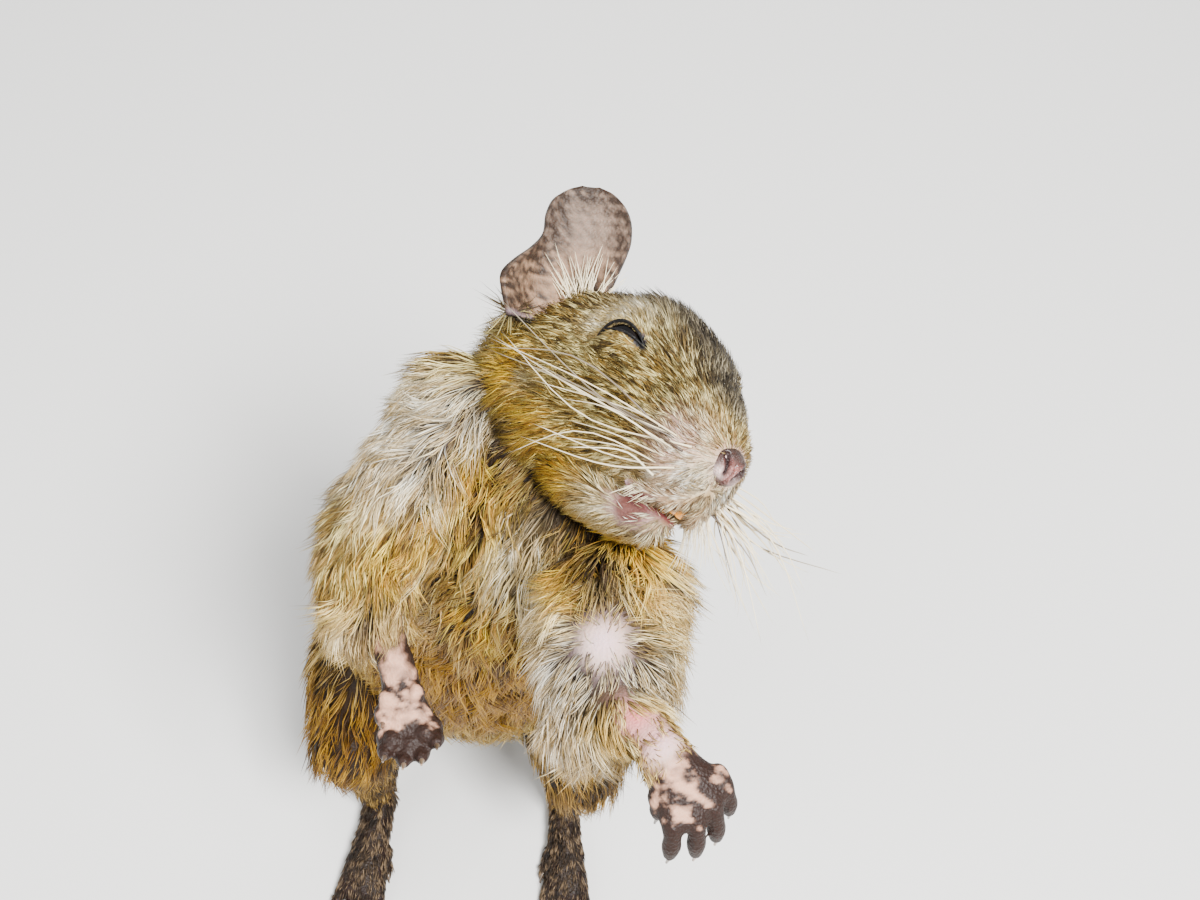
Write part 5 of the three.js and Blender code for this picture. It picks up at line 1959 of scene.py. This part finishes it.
@dataclass(frozen=True)
class Whiskers:
    """Long stiff hairs of the muzzle, each between two of the solids' own, and short ones of the
    lips and the ears. Lines are a side, how many hairs, and rows of three places out, back and up
    in the head's frame, from the top row down."""

    lines: tuple = (
        (
            Side.LEFT,
            40,
            ((5.6, 5.0, -2.0), (12.5, 1.6, -0.6), (19, -0.5, -0.6)),
            ((5.8, 6.2, -3.2), (14.5, 0.8, -4.2), (23, -4, -6)),
            ((5.4, 4.2, -4.0), (14.6, 1.2, -7.6), (23.6, -2.4, -13)),
            ((5.2, 5.4, -5.2), (12.6, 5.2, -10.2), (18.6, 4.2, -16.6)),
        ),
        (
            Side.RIGHT,
            16,
            ((5.8, 4.0, -0.2), (14.0, 14, 0.4), (19.6, 29.5, -0.8)),
            ((5.8, 4.0, -2.2), (14.0, 13, -2.6), (19.6, 29, -5.0)),
            ((5.5, 4.0, -3.7), (13.0, 11.6, -5.8), (18.8, 25.0, -9.4)),
            ((5.2, 5.4, -5.2), (11.4, 9.6, -9.0), (15.6, 18.0, -13.4)),
        ),
    )
    strewn: Place = (0.9, 1.3, 2.4)
    right_reach: float = 1.2
    lip_count: int = 60
    lip_ways: tuple = ((Side.LEFT, (0.85, -0.15, -0.65), 12), (Side.RIGHT, (0.35, 0.25, -0.9), 4.5))
    ear_count: int = 90
    thickness: float = 0.16
    fine: float = 0.085
    brown_share: float = 0.2
    cream: Colour = (244, 230, 196)
    root: Colour = (196, 166, 116)
    brown: Colour = (64, 46, 34)
    finish: Finish = Finish("cream whisker", 0.35, gloss=0.5, pores=6000, depth=0.1)
    rng: Generator = field(default_factory=lambda: np.random.default_rng(41))
    shares: Array = field(default_factory=lambda: np.linspace(0, 1, 10))

    def long_ones(self) -> Array:
        """Curves between neighbouring lines of each side, their places strewn about, which reach a
        little farther on the right.

        Returns:
            Hairs, places along one, coordinates.
        """
        made, rng = [], self.rng
        for side, count, *rows in self.lines:
            lines = np.array(rows)
            at = rng.uniform(0, len(lines) - 1, count)
            first = np.minimum(at.astype(int), len(lines) - 2)
            part = (at - first)[:, None, None]
            three = lines[first] * (1 - part) + lines[first + 1] * part
            three = three + rng.normal(0, 1.0, three.shape) * np.array(self.strewn)[None, :, None]
            reach = rng.uniform(0.62, 1.06, (count, 1, 1))
            reach = reach * (1.0 if side is Side.LEFT else self.right_reach)
            three = three[:, :1] + (three - three[:, :1]) * reach
            curve = np.stack([spline(places, self.shares) for places in three])
            made.append(HEAD_POSE.out(curve * side.flip))
        return np.concatenate(made)

    def lip_ones(self) -> Array:
        """Short hairs along both lips, out and down, bent as the square of the shares.

        Returns:
            Hairs, places along one, coordinates.
        """
        made, rng, s = [], self.rng, self.shares
        for side, way, longest in self.lip_ways:
            u = rng.random((self.lip_count, 1))
            roots = np.array([2.0, 2.6, -5.6]) * (1 - u) + np.array([5.4, 9.0, -8.2]) * u
            ways = unit(np.array(way) + rng.uniform(-0.3, 0.3, (self.lip_count, 3)))
            length = rng.uniform(0.35, 1.0, (self.lip_count, 1, 1)) * longest
            line = length * (ways[:, None] * s[:, None] + np.array([0, 0.3, -0.1]) * (s**2)[:, None])
            made.append(HEAD_POSE.out((roots[:, None] + line) * side.flip))
        return np.concatenate(made)

    def ear_ones(self) -> Array:
        """White hairs that fan out in the hollow of each ear from its root.

        Returns:
            Hairs, places along one, coordinates.
        """
        made, rng, s = [], self.rng, self.shares
        for ear in EARS:
            root, along, facing, rear = ear.frame()
            spread = rng.uniform(-1, 1, (self.ear_count, 1))
            depth = rng.uniform(0.2, 1.6, (self.ear_count, 1))
            height = rng.uniform(0.2, 2.6, (self.ear_count, 1))
            start = root + along * height + rear * spread * 3.4 + facing * depth
            lean = rear * (0.7 * spread + rng.normal(0, 0.3, spread.shape))
            ways = unit(along + lean + facing * rng.uniform(0.0, 0.25, spread.shape))
            length = rng.uniform(2.5, 8.0, (self.ear_count, 1, 1))
            bend = -facing * 0.12
            line = start[:, None] + length * (ways[:, None] * s[:, None] + bend * (s**2)[:, None])
            made.append(HEAD_POSE.out(line))
        return np.concatenate(made)

    def build(self) -> None:
        """Puts all in two pieces. Each thins to its tip by a root of what is left, and the colour
        runs from a tan root to cream, or from brown in a few."""
        rng, s = self.rng, self.shares
        material = self.finish.material()
        long_ones = self.long_ones()
        short_ones = np.concatenate([self.lip_ones(), self.ear_ones()])
        groups = (
            ("whiskers", long_ones, self.thickness, self.brown_share),
            ("fine_hairs", short_ones, self.fine, 0.0),
        )
        for name, paths, thick, brown in groups:
            count = len(paths)
            size = thick * rng.uniform(0.75, 1.2, (count, 1)) * (1 - 0.86 * s) ** 0.8
            points, faces = thin_tubes(paths, size, 4)
            piece = put_mesh(name, points, faces)
            colour = even(self.cream, count, len(s))
            colour = laid_over(colour, self.root, rng.uniform(0, 0.6, (count, 1)) * (1 - s))
            colour = laid_over(colour, self.brown, (rng.random((count, 1)) < brown) * (1 - 0.4 * s))
            tint(piece, colour[:, tube_places(len(s), 4)].reshape(-1, 3))
            dress(piece, material, "pale_fur")


@dataclass(frozen=True)
class Claws:
    """Horn claws of all paws."""

    tip: Colour = (150, 128, 104)
    root: Colour = (46, 34, 28)
    finish: Finish = Finish("horn claw", 0.3, gloss=0.5, wet=0.2, flesh=0.1, pores=4000, depth=0.15)

    def build(self) -> None:
        """Joins the curved cones of each paw in one piece, darker to the root with mottles."""
        material = self.finish.material()
        for paw in PAWS:
            points, faces = gather(paw.claws())
            points[:, 2] = np.maximum(points[:, 2], 0.02)
            tips = smooth(paw.tip - 1.0, paw.tip + 3.0, -paw.pose.inside(points)[:, 1])
            dark = 0.75 * (1 - tips) + 0.15 * ripple(points, 0.6, 51).clip(-1, 1)
            piece = put_mesh(f"claws_{paw.name}", points, faces)
            tint(piece, laid_over(even(self.tip, len(points)), self.root, dark))
            dress(piece, material, "")


@dataclass(frozen=True)
class Studio:
    """A pale floor, soft light and the camera at the photograph's angle. Lamps are a name, a place
    and a size in metres and a power in watts. The camera's own sizes are in millimetres."""

    eye: Place = (43.8, -100.1, 301.7)
    right: Place = (0.9945, 0.0835, 0.0629)
    up: Place = (-0.1045, 0.7946, 0.5987)
    lens: float = 38.6
    sensor: float = 36.0
    nearest: float = 0.01
    floor_size: float = 3.0
    floor_finish: PlainFinish = PlainFinish("pale floor", (222, 221, 218), 0.8)
    lamps: tuple = (
        ("key light", (0.34, -0.34, 0.8), 0.3, 29.0),
        ("fill light", (-0.6, -0.35, 0.5), 0.8, 7.0),
        ("back light", (0.1, 0.7, 0.6), 0.6, 6.0),
    )
    chest: Place = (0.03, 0.01, 0.12)
    room: tuple = (0.95, 0.97, 1.0, 1)
    room_strength: float = 0.28

    def build(self) -> None:
        """Builds floor, lights and camera."""
        half = self.floor_size / 2 / MM
        corners = np.array([[-half, -half, 0], [half, -half, 0], [half, half, 0], [-half, half, 0]])
        floor = put_mesh("floor", corners, np.array([[0, 1, 2], [0, 2, 3]]))
        floor.data.materials.append(self.floor_finish.material())
        for lamp in self.lamps:
            self.put_lamp(*lamp)
        world = bpy.data.worlds.new("soft room")
        world.use_nodes = True
        back = world.node_tree.nodes["Background"]
        back.inputs["Color"].default_value = self.room
        back.inputs["Strength"].default_value = self.room_strength
        bpy.context.scene.world = world
        self.put_camera()

    def put_camera(self) -> None:
        """The camera, which looks against the crossed product of its right and its up."""
        right, up, eye = Vector(self.right), Vector(self.up), Vector(self.eye) * MM
        camera = bpy.data.objects.new("camera", bpy.data.cameras.new("camera"))
        camera.data.lens = self.lens
        camera.data.sensor_width = self.sensor
        camera.data.clip_start = self.nearest
        turn = Matrix((right, up, right.cross(up))).transposed().to_4x4()
        camera.matrix_world = Matrix.Translation(eye) @ turn
        bpy.context.scene.collection.objects.link(camera)
        bpy.context.scene.camera = camera

    def put_lamp(self, name: str, place: Place, size: float, power: float) -> None:
        """A square area light that faces the model's chest.

        Args:
            name: of the lamp.
            place: in metres.
            size: of its side in metres.
            power: in watts.
        """
        lamp = bpy.data.lights.new(name, "AREA")
        lamp.size = size
        lamp.energy = power
        made = bpy.data.objects.new(name, lamp)
        made.location = place
        target = Vector(self.chest) - Vector(place)
        made.rotation_euler = target.to_track_quat("-Z", "Y").to_euler()
        bpy.context.scene.collection.objects.link(made)


LIMB_PARTS = ("forepaw", "forearm", "upper_arm", "hind_foot", "shank", "thigh")
FLESH = (
    *("lower_jaw", "head", "ear_right", "ear_left"),
    *(f"{part}_{side.word}" for side in Side for part in LIMB_PARTS),
    *("tail_tip", "tail_middle", "tail_base", "neck", "chest", "belly", "rump"),
)


def write_sizes() -> None:
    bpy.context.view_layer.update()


def main() -> None:
    """Builds the pieces in order and reports them."""
    body, markings = Body(), Markings()
    body.build()
    bare = markings.bareness(body)
    coat = Coat(body, markings, bare)
    pore_group()
    skin = put_mesh("skin", body.points, body.faces)
    tint(skin, markings.skin(body, coat.shades, coat.length, bare))
    flesh = Finish("bare skin", 0.55, gloss=0.22, flesh=0.12, depth=0.45)
    dress(skin, flesh.material(), "bare_skin", *FLESH)
    hair = Finish("hair", 0.55, gloss=0.3).material()
    for seed, pelt in enumerate(PELTS):
        coat.grow(pelt, seed + 1, hair)
    for piece in (Eyes(body.head), Incisors(), NosePad(), Claws(), Whiskers()):
        piece.build()
    Studio().build()
    write_sizes()


if __name__ == "__main__":
    main()
